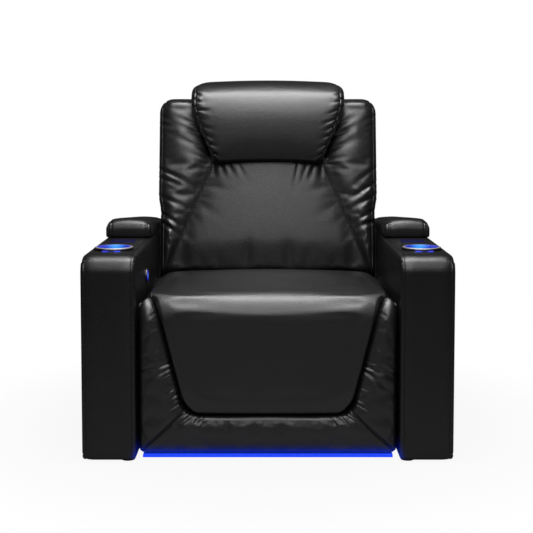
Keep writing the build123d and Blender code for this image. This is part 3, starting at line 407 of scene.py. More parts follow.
for name, node in frame["nodes"].items():
    slot = next(s["material_slot"] for s in frame["record"]["subparts"] if s["node"] == name)
    node.data.materials.clear()
    node.data.materials.append(ownFinishes.get(name, finishes[slot]))
print("materials ready")


# blocks of quads, mapped to the form of each padded piece


def fromBmesh(bm, name):
    mesh = bpy.data.meshes.new(name)
    bm.to_mesh(mesh)
    bm.free()
    piece = bpy.data.objects.new(name, mesh)
    bpy.context.scene.collection.objects.link(piece)
    return piece


def quadBlock(name, stops):
    # a closed block of quads; stops lists the places of its lines along each of three axes
    counts = [len(s) - 1 for s in stops]
    bm = bmesh.new()
    bmesh.ops.create_grid(bm, x_segments=counts[0], y_segments=counts[1], size=0.5)
    top = bm.faces[:]
    for step in range(counts[2]):
        made = bmesh.ops.extrude_face_region(bm, geom=top)
        if step:  # the layer left behind lies inside the block
            bmesh.ops.delete(bm, geom=top, context="FACES")
        lifted = [g for g in made["geom"] if isinstance(g, bmesh.types.BMVert)]
        top = [g for g in made["geom"] if isinstance(g, bmesh.types.BMFace)]
        bmesh.ops.translate(bm, verts=lifted, vec=(0, 0, 1.0 / counts[2]))
    bmesh.ops.recalc_face_normals(bm, faces=bm.faces[:])
    piece = fromBmesh(bm, name)
    lattice = readPoints(piece) + np.array([0.5, 0.5, 0.0])
    axes = [
        np.interp(lattice[:, i] * counts[i], range(counts[i] + 1), stops[i]) for i in range(3)
    ]
    return piece, np.stack(axes, axis=-1)


def readPoints(piece, kind="co"):
    flat = np.zeros(len(piece.data.vertices) * 3)
    piece.data.vertices.foreach_get(kind, flat)
    return flat.reshape(-1, 3)


def writePoints(piece, points):
    piece.data.vertices.foreach_set("co", np.ascontiguousarray(points, dtype=np.float32).ravel())
    piece.data.update()


def pushOut(piece, amount):
    # moves each point along its normal
    writePoints(piece, readPoints(piece) + readPoints(piece, "normal") * amount[:, None])


def keepFigures(piece, **figures):
    # plain numbers kept on the points, such as where each lies on its flat pattern
    for name, values in figures.items():
        layer = piece.data.attributes.get(name) or piece.data.attributes.new(name, "FLOAT", "POINT")
        layer.data.foreach_set("value", np.asarray(values, dtype=np.float32))


def figures(piece, *names):
    found = []
    for name in names:
        values = np.zeros(len(piece.data.vertices), dtype=np.float32)
        piece.data.attributes[name].data.foreach_get("value", values)
        found.append(values.astype(float))
    return found


def dress(piece, material, body=None):
    piece.data.materials.append(material)
    piece.data.polygons.foreach_set("use_smooth", [True] * len(piece.data.polygons))
    if body:
        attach(piece, body)
    return piece


def bake(piece):
    # applies the piece's modifiers
    graph = bpy.context.evaluated_depsgraph_get()
    mesh = bpy.data.meshes.new_from_object(piece.evaluated_get(graph))
    piece.modifiers.clear()
    piece.data = mesh


def refine(piece, levels=1):
    modifier = piece.modifiers.new("finer", "SUBSURF")
    modifier.levels = modifier.render_levels = levels
    bake(piece)


def ease(share):
    share = np.clip(share, 0, 1)
    return share * share * (3 - 2 * share)


def rounded(inside, radius):
    # height share of a rounded rim at a distance inside its edge
    return np.sqrt(np.clip(1 - (1 - np.clip(inside / radius, 0, 1)) ** 2, 0, 1))


def groove(gap, width):
    return np.exp(-((gap / width) ** 2))


def spread(low, high, step, edge=0.0, fine=None):
    # stops from low to high, closer together within an edge strip at both ends
    if not edge:
        return np.linspace(low, high, max(2, round((high - low) / step)) + 1)
    rim = np.linspace(0, edge, max(2, round(edge / fine)) + 1)
    middle = np.linspace(low + edge, high - edge, max(1, round((high - low - 2 * edge) / step)) + 1)
    return np.concatenate([low + rim[:-1], middle, high - rim[-2::-1]])


def smoothPath(places, values, wanted):
    # a soft curve through the stations that keeps close to the straight runs between them
    slope = np.gradient(values, places)
    index = np.clip(np.searchsorted(places, wanted, side="right") - 1, 0, len(places) - 2)
    gap = places[index + 1] - places[index]
    s = (wanted - places[index]) / gap
    a, b = values[index], values[index + 1]
    bent = (
        (2 * s**3 - 3 * s**2 + 1) * a
        + (s**3 - 2 * s**2 + s) * gap * slope[index]
        + (3 * s**2 - 2 * s**3) * b
        + (s**3 - s**2) * gap * slope[index + 1]
    )
    return 0.6 * bent + 0.4 * (a + (b - a) * s)


def mirrored(piece, name):
    twin = piece.copy()
    twin.data = piece.data.copy()
    twin.name = twin.data.name = name
    bpy.context.scene.collection.objects.link(twin)
    bm = bmesh.new()
    bm.from_mesh(twin.data)
    bmesh.ops.scale(bm, vec=(-1, 1, 1), verts=bm.verts[:])
    bmesh.ops.reverse_faces(bm, faces=bm.faces[:])
    bm.to_mesh(twin.data)
    bm.free()
    return twin


def roundPair(points, low, high, first, second, radius, ends):
    # turns the square corners between two axes into quarter circles
    for endFirst, endSecond in ends:
        limit = [high[a] if e > 0 else low[a] for a, e in ((first, endFirst), (second, endSecond))]
        centre = [limit[0] - endFirst * radius, limit[1] - endSecond * radius]
        a = (points[:, first] - centre[0]) * endFirst / radius
        b = (points[:, second] - centre[1]) * endSecond / radius
        near = (a > 0) & (b > 0)
        shrink = np.where(near, np.maximum(a, b) / np.maximum(np.hypot(a, b), 1e-9), 1.0)
        points[:, first] = np.where(near, centre[0] + endFirst * a * shrink * radius, points[:, first])
        points[:, second] = np.where(near, centre[1] + endSecond * b * shrink * radius, points[:, second])


corners = [(a, b) for a in (-1, 1) for b in (-1, 1)]  # the ends of two axes that meet
footCorners, topCorners = corners[::2], corners[1::2]


# leather pressed out by its filling, and the folds that seams draw in


filling = {
    "steps": 5,
    "mass": 0.4,
    "stretch": 25,
    "shear": 12,
    "bend": 3.0,
    "pressure": 4.0,
    "frames": 20,
    "caps": (0.004, 0.006, 0.007, 0.004),  # cover, surround, back, pillow
}


def hold(piece, loose, grow=0.0):
    # makes the piece cloth that is held where loose is 0
    group = piece.vertex_groups.new(name="held")
    for index, share in enumerate(1 - loose):
        group.add([index], float(share), "REPLACE")
    modifier = piece.modifiers.new("filling", "CLOTH")
    cloth = modifier.settings
    cloth.quality = filling["steps"]
    cloth.mass = filling["mass"]
    cloth.tension_stiffness = cloth.compression_stiffness = filling["stretch"]
    cloth.shear_stiffness = filling["shear"]
    cloth.bending_stiffness = filling["bend"]
    cloth.vertex_group_mass = "held"
    cloth.shrink_min = -grow
    cloth.use_pressure = True
    cloth.uniform_pressure_force = filling["pressure"]
    cloth.effector_weights.gravity = 0
    modifier.collision_settings.use_collision = False


def inflate(caps):
    # steps the cloth of all pieces together, then limits how far each point has moved
    starts = [readPoints(piece) for piece, limit in caps]
    for step in range(filling["frames"]):
        bpy.context.scene.frame_set(step + 1)
    for (piece, limit), start in zip(caps, starts):
        bake(piece)
        moved = readPoints(piece) - start
        far = np.maximum(np.linalg.norm(moved, axis=1), 1e-9)
        writePoints(piece, start + moved * (limit * np.tanh(far / limit) / far)[:, None])
        piece.vertex_groups.clear()
        print(piece.name, "moved at most", round(float(far.max()) * 1000, 1), "mm")
    bpy.context.scene.frame_set(1)


def folds(run, away, places, reach, deep, wide, lean=0.0, seed=1):
    # wedge folds that start at a seam (away 0) and open out across the panel
    dice = np.random.default_rng(seed)
    total = np.zeros_like(run)
    for place in places:
        long = reach * dice.uniform(0.65, 1.25)
        slant = lean + dice.uniform(-0.22, 0.22)
        strength = deep * dice.uniform(0.6, 1.25)
        width = wide * dice.uniform(0.8, 1.2) * (0.45 + 0.9 * np.clip(away / long, 0, 1.5))
        across = (run - place - slant * away) / width
        profile = (1 - 1.1 * across**2) * np.exp(-(across**2))
        total += strength * profile * np.exp(-((away / long) ** 2)) * ease((away + 0.004) / 0.006)
    return total


# thread and piping, laid on the surfaces that they follow


def surface(*pieces):
    bm = bmesh.new()
    for piece in pieces:
        bm.from_mesh(piece.data)
    tree = BVHTree.FromBMesh(bm)
    bm.free()
    return tree


def hits(tree, outside, inside):
    # where lines from outside to inside first meet the surface
    found = []
    for start, end in zip(outside, inside):
        ray = Vector(end) - Vector(start)
        point, normal = tree.ray_cast(Vector(start), ray.normalized(), ray.length * 1.5)[:2]
        if point is not None:
            found.append((point, normal))
    return found


def evenly(row, pitch):
    # points and normals at equal steps along a row of hits
    points, normals = (np.array([list(pair[i]) for pair in row]) for i in (0, 1))
    length = np.concatenate([[0], np.cumsum(np.linalg.norm(np.diff(points, axis=0), axis=1))])
    wanted = np.arange(pitch / 2, length[-1], pitch)
    return [
        np.stack([np.interp(wanted, length, rows[:, i]) for i in range(3)], axis=1)
        for rows in (points, normals)
    ]


def append(bm, part):
    mesh = bpy.data.meshes.new("part")
    part.to_mesh(mesh)
    part.free()
    bm.from_mesh(mesh)
    bpy.data.meshes.remove(mesh)


stitch = {
    "pitch": 0.0092,
    "half": 0.0036,
    "thick": 0.0012,
}


def stitchRow(bm, row, pitch=None):
    if len(row) < 3:
        return
    points, normals = evenly(row, pitch or stitch["pitch"])
    part = bmesh.new()
    for i in range(len(points) - 1):
        run = Vector(points[i + 1] - points[i])
        up = Vector(normals[i]).normalized()
        along = run.normalized()
        side = up.cross(along).normalized()
        turn = Matrix((along, side, along.cross(side))).transposed().to_4x4()
        size = Matrix.Diagonal((stitch["half"], stitch["thick"], stitch["thick"], 1))
        place = Matrix.Translation(Vector(points[i]) + up * stitch["thick"] * 0.3)
        bmesh.ops.create_icosphere(part, subdivisions=1, radius=1.0, matrix=place @ turn @ size)
    append(bm, part)


def tubeAlong(bm, row, radius, lift=0.3, pitch=0.006, sides=8):
    # a round welt laid along a row of hits
    if len(row) < 3:
        return
    points, normals = evenly(row, pitch)
    part = bmesh.new()
    rings = []
    for i, (point, normal) in enumerate(zip(points, normals)):
        along = Vector(points[min(i + 1, len(points) - 1)] - points[max(i - 1, 0)]).normalized()
        up = Vector(normal).normalized()
        side = along.cross(up).normalized()
        centre = Vector(point) + up * radius * lift
        turns = [2 * math.pi * k / sides for k in range(sides)]
        spokes = [(side * math.cos(a) + up * math.sin(a)) * radius for a in turns]
        rings.append([part.verts.new(centre + spoke) for spoke in spokes])
    for first, second in zip(rings, rings[1:]):
        for k in range(sides):
            part.faces.new((first[k], first[(k + 1) % sides], second[(k + 1) % sides], second[k]))
    part.faces.new(rings[0])
    part.faces.new(rings[-1])
    bmesh.ops.recalc_face_normals(part, faces=part.faces[:])
    append(bm, part)


def trim(bm, name, material, body=None):
    piece = dress(fromBmesh(bm, name), material, body)
    return piece


# cover of the seat, knee roll and footrest pad, one continuous leather panel

chaise = {
    "rear": 0.570,
    "padBottom": 0.247,
    "padTopHalf": 0.286,
    "padNarrowing": 0.064,
    "cellAcross": 0.0085,
    "cellAlong": 0.0085,
    "cornerRadius": 0.055,
    "seatHalf": 0.336,
    "meanHalf": 0.30,
    "archPlace": -0.104,
    "archLong": 0.022,
    "height": 0.050,
    "seatDrop": 0.037,
    "crown": 0.027,
}


def padHalf(t):
    # half width of the footrest's centre pad at a place below the knee
    share = np.clip(t, -0.3, chaise["padBottom"]) / chaise["padBottom"]
    return chaise["padTopHalf"] - chaise["padNarrowing"] * share


def coverHalf(t):
    top = -seat["rollLength"]
    atFront, atRear = ease((t - (top - 0.14)) / 0.12), ease((top - 0.36 - t) / 0.11)
    onSeat = chaise["seatHalf"] - 0.006 * atFront - 0.010 * atRear
    narrow = ease((t - chaise["archPlace"]) / chaise["archLong"])
    half = onSeat * (1 - narrow) + padHalf(t) * narrow
    radius = chaise["cornerRadius"]
    left = np.clip(chaise["padBottom"] - t, 0, radius)
    return half - (radius - np.sqrt(np.maximum(radius**2 - (radius - left) ** 2, 0)))


def coverHeight(t, share, inside):
    # height of the cover's outer face over its board at a place across and along it
    top = -seat["rollLength"]
    onSeat = ease((top + 0.03 - t) / 0.12)
    middle = np.exp(-(((t - (top - 0.24)) / 0.21) ** 2))
    crown = 0.010 * (1 - onSeat) + onSeat * (0.006 + chaise["crown"] * middle)
    crown = crown * (1 - np.abs(share) ** 2) + 0.014 * groove(t - (top - 0.02), 0.10)
    edge = 0.018 * (1 - onSeat) + 0.026 * onSeat
    lower = 0.006 * ease((t - 0.17) / 0.07)
    radius = 0.013 + 0.025 * onSeat
    rise = (chaise["height"] - edge - lower) * rounded(inside, radius)
    return edge + rise + crown * rounded(inside, 0.08)


def makeChaise():
    rear = -(seat["rollLength"] + chaise["rear"] - seat["hingeDepth"])
    across = spread(-1, 1, chaise["cellAcross"] / chaise["meanHalf"], 0.08, 0.014)
    along = spread(rear, chaise["padBottom"], chaise["cellAlong"], 0.020, 0.004)
    piece, grid = quadBlock("seat_and_footrest_cover", [across, along, np.linspace(0, 1, 4)])
    share, t, deep = grid.T
    half = coverHalf(t)
    inside = np.minimum((1 - np.abs(share)) * half, np.minimum(t - rear, chaise["padBottom"] - t))
    face = coverHeight(t, share, inside)
    top = -seat["rollLength"]
    onSeat = ease((top + 0.01 - t) / 0.05)
    onRoll = ease((0.05 - t) / 0.05) * (1 - onSeat)
    floor = -chaise["seatDrop"] * onSeat + seat["boardGap"] * (1 - onSeat) + seat["kneeGap"] * onRoll
    writePoints(piece, legPlace(share * half, t, floor + (face - floor) * deep))
    hold(piece, ease((inside - 0.010) / 0.05) * ease((deep - 0.6) / 0.3))
    return piece


# the footrest's surround: two bolsters and the band below, sewn together at the mitres

surround = {
    "outer": 0.344,
    "foot": 0.348,
    "tuck": 0.005,
    "cell": 0.0075,
}


def surroundStations():
    # (inner x, inner t, outer x, outer t) down the left side to the middle of the band
    outer, foot, tuck = surround["outer"], surround["foot"], surround["tuck"]
    radius = chaise["cornerRadius"]
    turnStart = chaise["padBottom"] - radius
    centre = padHalf(turnStart) - radius
    rows = [(-padHalf(-0.095) + tuck, -0.094, -outer, -0.062)]
    for t, low in ((-0.055, -0.03), (0.0, 0.02), (0.07, 0.09), (0.13, 0.17), (turnStart, 0.26)):
        rows.append((-padHalf(t) + tuck, t, -outer, low))
    bends = ((25, outer, 0.315), (45, outer - 0.0015, foot - 0.002), (65, 0.285, foot), (90, 0.225, foot))
    for degrees, x, t in bends:
        turn = math.radians(degrees)
        reach = radius - tuck
        rows.append((-centre - reach * math.cos(turn), turnStart + reach * math.sin(turn), -x, t))
    rows.append((0.0, chaise["padBottom"] - tuck, 0.0, foot))
    return np.array(rows)


def makeSurround():
    left = surroundStations()
    stations = np.concatenate([left, left[-2::-1] * np.array([-1, 1, -1, 1])])
    middle = (stations[:, :2] + stations[:, 2:]) / 2
    length = np.concatenate([[0], np.cumsum(np.hypot(*np.diff(middle, axis=0).T))])
    mitres = (length[7], length[-8])
    limits = (0, *mitres, length[-1])
    runs = [spread(a, b, surround["cell"], 0.016, 0.003) for a, b in zip(limits, limits[1:])]
    along = np.concatenate([runs[0], runs[1][1:], runs[2][1:]])
    middleStops, rimStops = np.linspace(0.3, 0.8, 8)[1:], np.linspace(0.8, 1, 8)[1:]
    across = np.concatenate([np.linspace(0, 0.3, 9), middleStops, rimStops])
    piece, grid = quadBlock("footrest_surround", [across, along, np.linspace(0, 1, 4)])
    share, run, deep = grid.T
    innerX, innerT, outerX, outerT = (smoothPath(length, stations[:, i], run) for i in range(4))
    wide = np.hypot(outerX - innerX, outerT - innerT)
    x = innerX + (outerX - innerX) * share
    t = innerT + (outerT - innerT) * share
    end = np.minimum(run, length[-1] - run)
    t = t - 0.016 * np.sin(np.pi * share) * (1 - ease(end / 0.035))
    inner, outer = share * wide, (1 - share) * wide
    low = 0.014 + 0.010 * ease((share - 0.7) / 0.3)
    swell = np.sin(np.pi * np.clip(share, 0, 1))
    peak = 0.046 + 0.011 * swell - 0.006 * ease((t - 0.27) / 0.07)
    face = low + (peak - low) * np.minimum(rounded(inner, 0.012), rounded(outer + 0.001, 0.012))
    face = 0.012 + (face - 0.012) * rounded(end + 0.003, 0.016)
    mitre = np.minimum(np.abs(run - mitres[0]), np.abs(run - mitres[1]))
    knee = ease(-t / 0.05)
    floor = seat["boardGap"] + seat["kneeGap"] * knee
    writePoints(piece, legPlace(x, t, floor + (face - floor) * deep))
    keepFigures(piece, run=run, inner=inner, outer=outer, deep=deep, mitre=mitre)
    loose = ease((inner - 0.006) / 0.02) * ease((outer - 0.004) / 0.02) * ease((deep - 0.6) / 0.3)
    hold(piece, loose * ease((mitre - 0.003) / 0.015) * ease((end - 0.004) / 0.012), grow=0.012)
    surround["length"], surround["mitres"] = length[-1], mitres
    return piece


def creaseSurround(piece):
    run, inner, outer, deep, mitre = figures(piece, "run", "inner", "outer", "deep", "mitre")
    total = surround["length"]
    start = surround["mitres"][0]
    top = ease((deep - 0.75) / 0.2)
    sink = 0.0050 * groove(mitre, 0.0035) * ease((inner - 0.004) / 0.008)
    for mirror, seed in ((False, 3), (True, 9)):
        place = total - run if mirror else run
        strong = [0.205, 0.218] if mirror else [0.196, 0.211]
        small = np.linspace(0.228, start - 0.03, 6)
        band = np.linspace(start + 0.022, start + 0.10, 5)
        sink += folds(place, inner, strong, 0.075, 0.0052, 0.0085, 0.10, seed)
        sink += folds(place, outer, [strong[0] - 0.004], 0.05, 0.0030, 0.007, -0.1, seed + 1)
        sink += folds(place, inner, small, 0.032, 0.0034, 0.006, -0.25, seed + 2)
        sink += folds(place, inner, band, 0.034, 0.0030, 0.0055, -0.55, seed + 3)
        sink += folds(place, inner, [0.05, 0.085, 0.13], 0.03, 0.0012, 0.007, 0.2, seed + 4)
    pushOut(piece, -sink * top)


# the back: wings and centre panel in one sewn cover

backCushion = {
    "half": 0.3485,
    "footHalf": 0.341,
    "waist": 0.205,
    "waistLong": 0.06,
    "length": 0.576,
    "start": 0.006,
    "cell": 0.0088,
    "seamShare": 0.62,
    "seamTop": 0.360,
    "seamTopHalf": 0.177,
    "seamFootHalf": 0.328,
    "corner": 0.046,
}


def backSeamHalf(along):
    # from the headrest's lower corners down and out, and up beside the headrest
    share = along / backCushion["seamTop"]
    low = backCushion["seamFootHalf"] + share * (backCushion["seamTopHalf"] - backCushion["seamFootHalf"])
    high = backCushion["seamTopHalf"] + (along - backCushion["seamTop"]) * 0.20
    return np.where(along < backCushion["seamTop"], low, high)


def backHalf(along):
    foot, full = backCushion["footHalf"], backCushion["half"]
    return foot + (full - foot) * ease((along - backCushion["waist"]) / backCushion["waistLong"])


def makeBackCushion():
    long, start, mid = backCushion["length"], backCushion["start"], backCushion["seamShare"]
    near = np.array([0.0, 0.006, 0.013, 0.024])
    wing = np.concatenate([mid + near, np.linspace(mid + 0.045, 0.93, 12), np.linspace(0.945, 1, 8)])
    centre = np.concatenate([np.linspace(0, mid - 0.045, 22), mid - near[:0:-1]])
    half = np.concatenate([centre, wing])
    across = np.concatenate([-half[:0:-1], half])
    up = spread(start, long, backCushion["cell"], 0.024, 0.004)
    piece, grid = quadBlock("back_cushion", [across, up, np.linspace(0, 1, 5)])
    share, along, deep = grid.T
    seam, edge = backSeamHalf(along), backHalf(along)
    size = np.abs(share)
    x = np.where(size < mid, size / mid * seam, seam + (size - mid) / (1 - mid) * (edge - seam))
    corner = backCushion["corner"]
    cutX = np.clip(x - (edge - corner), 0, corner)
    cutA = np.clip(along - (long - corner), 0, corner)
    both = (cutX > 0) & (cutA > 0)
    pull = np.where(both, np.maximum(cutX, cutA) / np.maximum(np.hypot(cutX, cutA), 1e-9), 1)
    xRound = np.where(both, edge - corner + cutX * pull, x)
    alongRound = np.where(both, long - corner + cutA * pull, along)
    inside = np.minimum(edge - x, np.minimum(along - start, long - along))
    fromSeam = x - seam
    wingSide = ease(fromSeam / 0.03 + 0.5)
    upper = ease((along - backCushion["seamTop"]) / 0.05)
    centreFace = 0.070 + 0.012 * (1 - (x / np.maximum(seam, 0.1)) ** 2).clip(0, 1)
    centreFace = centreFace * (1 - 0.32 * upper)
    wingFace = 0.067 + 0.013 * np.sin(np.pi * (fromSeam / np.maximum(edge - seam, 0.03)).clip(0, 1))
    face = centreFace * (1 - wingSide) + wingFace * wingSide
    face = face - 0.012 * ease((0.12 - along) / 0.12)
    face = 0.016 + (face - 0.016) * rounded(inside + 0.0005, 0.034)
    flat = np.sign(share) * xRound
    writePoints(piece, backPlace(flat, alongRound, 0.001 + (face - 0.001) * deep))
    keepFigures(piece, across=flat, along=along, deep=deep, fromSeam=fromSeam, side=edge - x)
    free = ease((np.abs(fromSeam) - 0.002) / 0.022) * ease((inside - 0.006) / 0.03)
    hold(piece, free * ease((deep - 0.6) / 0.3), grow=0.010)
    return piece


wingFolds = {  # side: (seed, places up the back of the long folds)
    -1: (21, (0.345, 0.315, 0.258, 0.205, 0.176)),
    1: (43, (0.350, 0.305, 0.262, 0.215, 0.178)),
}


def creaseBack(piece):
    across, along, deep, fromSeam, side = figures(piece, "across", "along", "deep", "fromSeam", "side")
    top = ease((deep - 0.7) / 0.25)
    below = ease((backCushion["seamTop"] + 0.015 - along) / 0.02)
    down = backCushion["seamTop"] - along
    beside = ease(fromSeam / 0.014)
    sink = 0.0034 * groove(fromSeam, 0.0015) * below
    sink += 0.0005 * groove(np.abs(fromSeam) - 0.0048, 0.002) * below
    sink += 0.0036 * groove(side - 0.012, 0.0035) * ease((along - 0.03) / 0.05)
    for sign, (seed, lows) in wingFolds.items():
        mine = (across * sign > 0).astype(float)
        onWing = mine * beside
        sink += onWing * folds(along, side, lows, 0.085, 0.0050, 0.013, -0.55, seed)
        sink += mine * folds(along, side, (0.52, 0.49), 0.05, 0.0030, 0.008, -0.5, seed + 1)
        sink += onWing * folds(along, fromSeam, (0.40, 0.44, 0.475), 0.075, 0.0042, 0.012, 0.35, seed + 2)
        sink += onWing * folds(along, fromSeam, (0.355, 0.372), 0.045, 0.0030, 0.007, 0.25, seed + 3)
        under = (0.095, 0.125, 0.150, 0.172)
        cross = folds(np.abs(across), down, under, 0.050, 0.0024, 0.0095, -0.25, seed + 4)
        sink += mine * cross * ease((0.004 - fromSeam) / 0.02) * ease((down + 0.004) / 0.006)
    pushOut(piece, -sink * top)


# headrest pillow: a front panel puckered into two side seams

pillow = {
    "topHalf": 0.239,
    "footHalf": 0.174,
    "start": 0.362,
    "slant": 0.180,
    "shoulder": 0.599,
    "corner": 0.029,
    "cell": 0.0075,
    "meanHalf": 0.23,
    "seam": 0.012,
}
pillowFace = np.array([  # (along, ahead) up the front, over the top and down behind
    (0.362, 0.098), (0.366, 0.120), (0.390, 0.136), (0.440, 0.147), (0.490, 0.155), (0.535, 0.158),
    (0.575, 0.148), (0.608, 0.118), (0.627, 0.074), (0.625, 0.030), (0.612, -0.004), (0.592, -0.022),
])
pillowRear = np.array([
    (0.374, 0.090), (0.402, 0.086), (0.440, 0.086), (0.480, 0.086), (0.520, 0.086), (0.555, 0.084),
    (0.575, 0.076), (0.583, 0.066), (0.584, 0.050), (0.583, 0.030), (0.582, 0.005), (0.582, -0.012),
])


def pillowHalf(along):
    height = 1 - (1 - np.clip((along - pillow["start"]) / pillow["slant"], 0, 1)) ** 1.35
    corner = pillow["corner"]
    over = np.clip(along - pillow["shoulder"], 0, corner)
    half = pillow["footHalf"] + (pillow["topHalf"] - pillow["footHalf"]) * height
    return half - (corner - np.sqrt(corner**2 - over**2))


def makePillow():
    across = spread(-1, 1, pillow["cell"] / pillow["meanHalf"], 0.16, 0.013)
    stations = np.arange(len(pillowFace), dtype=float)
    up = np.linspace(0, len(pillowFace) - 1, 64)
    piece, grid = quadBlock("headrest_pillow", [across, up, np.linspace(0, 1, 6)])
    share, row, deep = grid.T
    alongFace, aheadFace = (smoothPath(stations, pillowFace[:, i], row) for i in (0, 1))
    alongRear, aheadRear = (smoothPath(stations, pillowRear[:, i], row) for i in (0, 1))
    inner = (1 - np.abs(share)) * pillow["meanHalf"]
    full = 0.62 + 0.38 * rounded(inner, 0.040)
    along = alongRear + (alongFace - alongRear) * deep * full - 0.007 * share**2
    ahead = aheadRear + (aheadFace - aheadRear) * deep * full
    half = pillowHalf(alongFace) * (1 + 0.012 * np.sin(np.pi * deep))
    writePoints(piece, backPlace(share * half, along, ahead))
    keepFigures(piece, share=share, row=row, deep=deep, inner=inner, along=alongFace)
    rim = np.minimum(row, len(pillowFace) - 1 - row)
    hold(piece, ease((inner - 0.010) / 0.03) * ease((deep - 0.6) / 0.3) * ease((rim - 0.4) / 1.2))
    return piece


def creasePillow(piece):
    share, row, deep, inner, along = figures(piece, "share", "row", "deep", "inner", "along")
    top = ease((deep - 0.7) / 0.25)
    sink = 0.0028 * groove(inner - pillow["seam"], 0.0024)
    places = np.array([0.385, 0.413, 0.440, 0.468, 0.493, 0.520, 0.548, 0.575])
    for sign, seed in ((-1, 61), (1, 77)):
        mine = (share * sign > 0).astype(float)
        away = inner - pillow["seam"]
        onFront = np.maximum(away, -0.004)
        sink += mine * folds(along, onFront, places, 0.026, 0.0044, 0.0064, -0.30, seed)
        sink += mine * folds(along, -away, places + 0.010, 0.012, 0.0036, 0.007, 0.0, seed + 1)
    pushOut(piece, -sink * top * ease((9.0 - row) / 1.5))


# boxed pieces: arms and lids

arm = {
    "roll": 0.050,
    "rearRound": 0.028,
    "footRound": 0.012,
    "side": 0.014,
    "topSide": 0.022,
    "topstitch": 0.0135,
    "cupHole": 0.0428,
    "binHalf": 0.040,
    "binFlange": 0.008,
    "switchHole": 0.0172,
}
lid = {
    "roll": 0.037,
    "under": 0.011,
    "side": 0.026,
    "footSide": 0.006,
    "corner": 0.014,
    "rearRound": 0.018,
    "crown": 0.008,
    "rearDrop": 0.034,
    "seam": 0.018,
    "inset": 0.007,
}


def makeArm():
    low, high = armLow, armHigh
    across = spread(low.x, high.x, 0.011, 0.018, 0.0024)
    deep = spread(low.y, high.y, 0.012, 0.055, 0.005)
    tall = spread(low.z, high.z, 0.012, 0.055, 0.005)
    piece, points = quadBlock("right_arm", [across, deep, tall])
    for first, second, radius, ends in (
        (0, 1, "side", corners),
        (0, 2, "side", footCorners),
        (0, 2, "topSide", [(1, 1)]),
        (0, 2, "side", [(-1, 1)]),
        (1, 2, "roll", [(-1, 1)]),
        (1, 2, "rearRound", [(1, 1)]),
        (1, 2, "footRound", footCorners),
    ):
        roundPair(points, low, high, first, second, arm[radius], ends)
    writePoints(piece, points)
    normals = readPoints(piece, "normal")
    fromSide = (high.x - low.x) / 2 - np.abs(points[:, 0] - armMiddle)
    onBand = 1 - ease(np.abs(normals[:, 0]) / 0.85)
    stitched = fromSide - arm["topstitch"]
    sink = (0.0028 * groove(fromSide - 0.0052, 0.0016) + 0.0010 * groove(stitched, 0.0024)) * onBand
    sink += 0.0014 * (1 - ease(stitched / 0.018)) * onBand
    inY = ease((points[:, 1] - low.y) / 0.10) * ease((high.y - points[:, 1]) / 0.10)
    inZ = ease((points[:, 2] - low.z) / 0.10) * ease((high.z - points[:, 2]) / 0.10)
    flank = ease((np.abs(normals[:, 0]) - 0.7) / 0.3)
    sink += 0.0020 * (1 - inY * inZ) * flank
    upright = 1 - ease((np.abs(normals[:, 2]) - 0.3) / 0.3)
    sink += 0.0022 * groove(points[:, 2] - low.z - 0.016, 0.0022) * upright
    pushOut(piece, -sink)
    return piece


def cutBy(piece, cutters):
    for cutter in cutters:
        modifier = piece.modifiers.new("opening", "BOOLEAN")
        modifier.operation, modifier.solver, modifier.object = "DIFFERENCE", "EXACT", cutter
    bake(piece)
    for cutter in cutters:
        bpy.data.objects.remove(cutter)


def roundCutter(centre, radius, length, axis="Z"):
    bm = bmesh.new()
    turn = Matrix.Rotation(math.pi / 2, 4, "Y") if axis == "X" else Matrix.Identity(4)
    bmesh.ops.create_cone(
        bm, cap_ends=True, segments=64, radius1=radius, radius2=radius, depth=length,
        matrix=Matrix.Translation(centre) @ turn,
    )
    return fromBmesh(bm, "cutter")


def boxCutter(low, high):
    bm = bmesh.new()
    low, high = Vector(low), Vector(high)
    bmesh.ops.create_cube(
        bm, size=1, matrix=Matrix.Translation((low + high) / 2) @ Matrix.Diagonal((*(high - low), 1))
    )
    return fromBmesh(bm, "cutter")


def armRows(tree, sign):
    # two topstitched rows on each arm, up its front, over the roll and back along the top
    rows = []
    rollY, rollZ = armLow.y + arm["roll"], armHigh.z - arm["roll"]
    turns = np.linspace(0, math.pi / 2, 12)
    for inset in (arm["topstitch"], armHigh.x - armLow.x - arm["topstitch"]):
        x = (armLow.x + inset) * sign
        front = [(x, armLow.y - 0.1, z) for z in np.arange(armLow.z + 0.020, rollZ, 0.02)]
        roll = [(x, rollY - 0.2 * math.cos(a), rollZ + 0.2 * math.sin(a)) for a in turns]
        top = [(x, y, armHigh.z + 0.1) for y in np.arange(armLow.y + 0.06, armHigh.y - 0.02, 0.02)]
        inFront = [(x, armLow.y + 0.1, p[2]) for p in front]
        inRoll = [(x, rollY, rollZ)] * len(roll)
        inTop = [(x, p[1], armHigh.z - 0.1) for p in top]
        rows.append(hits(tree, front + roll + top, inFront + inRoll + inTop))
    return rows


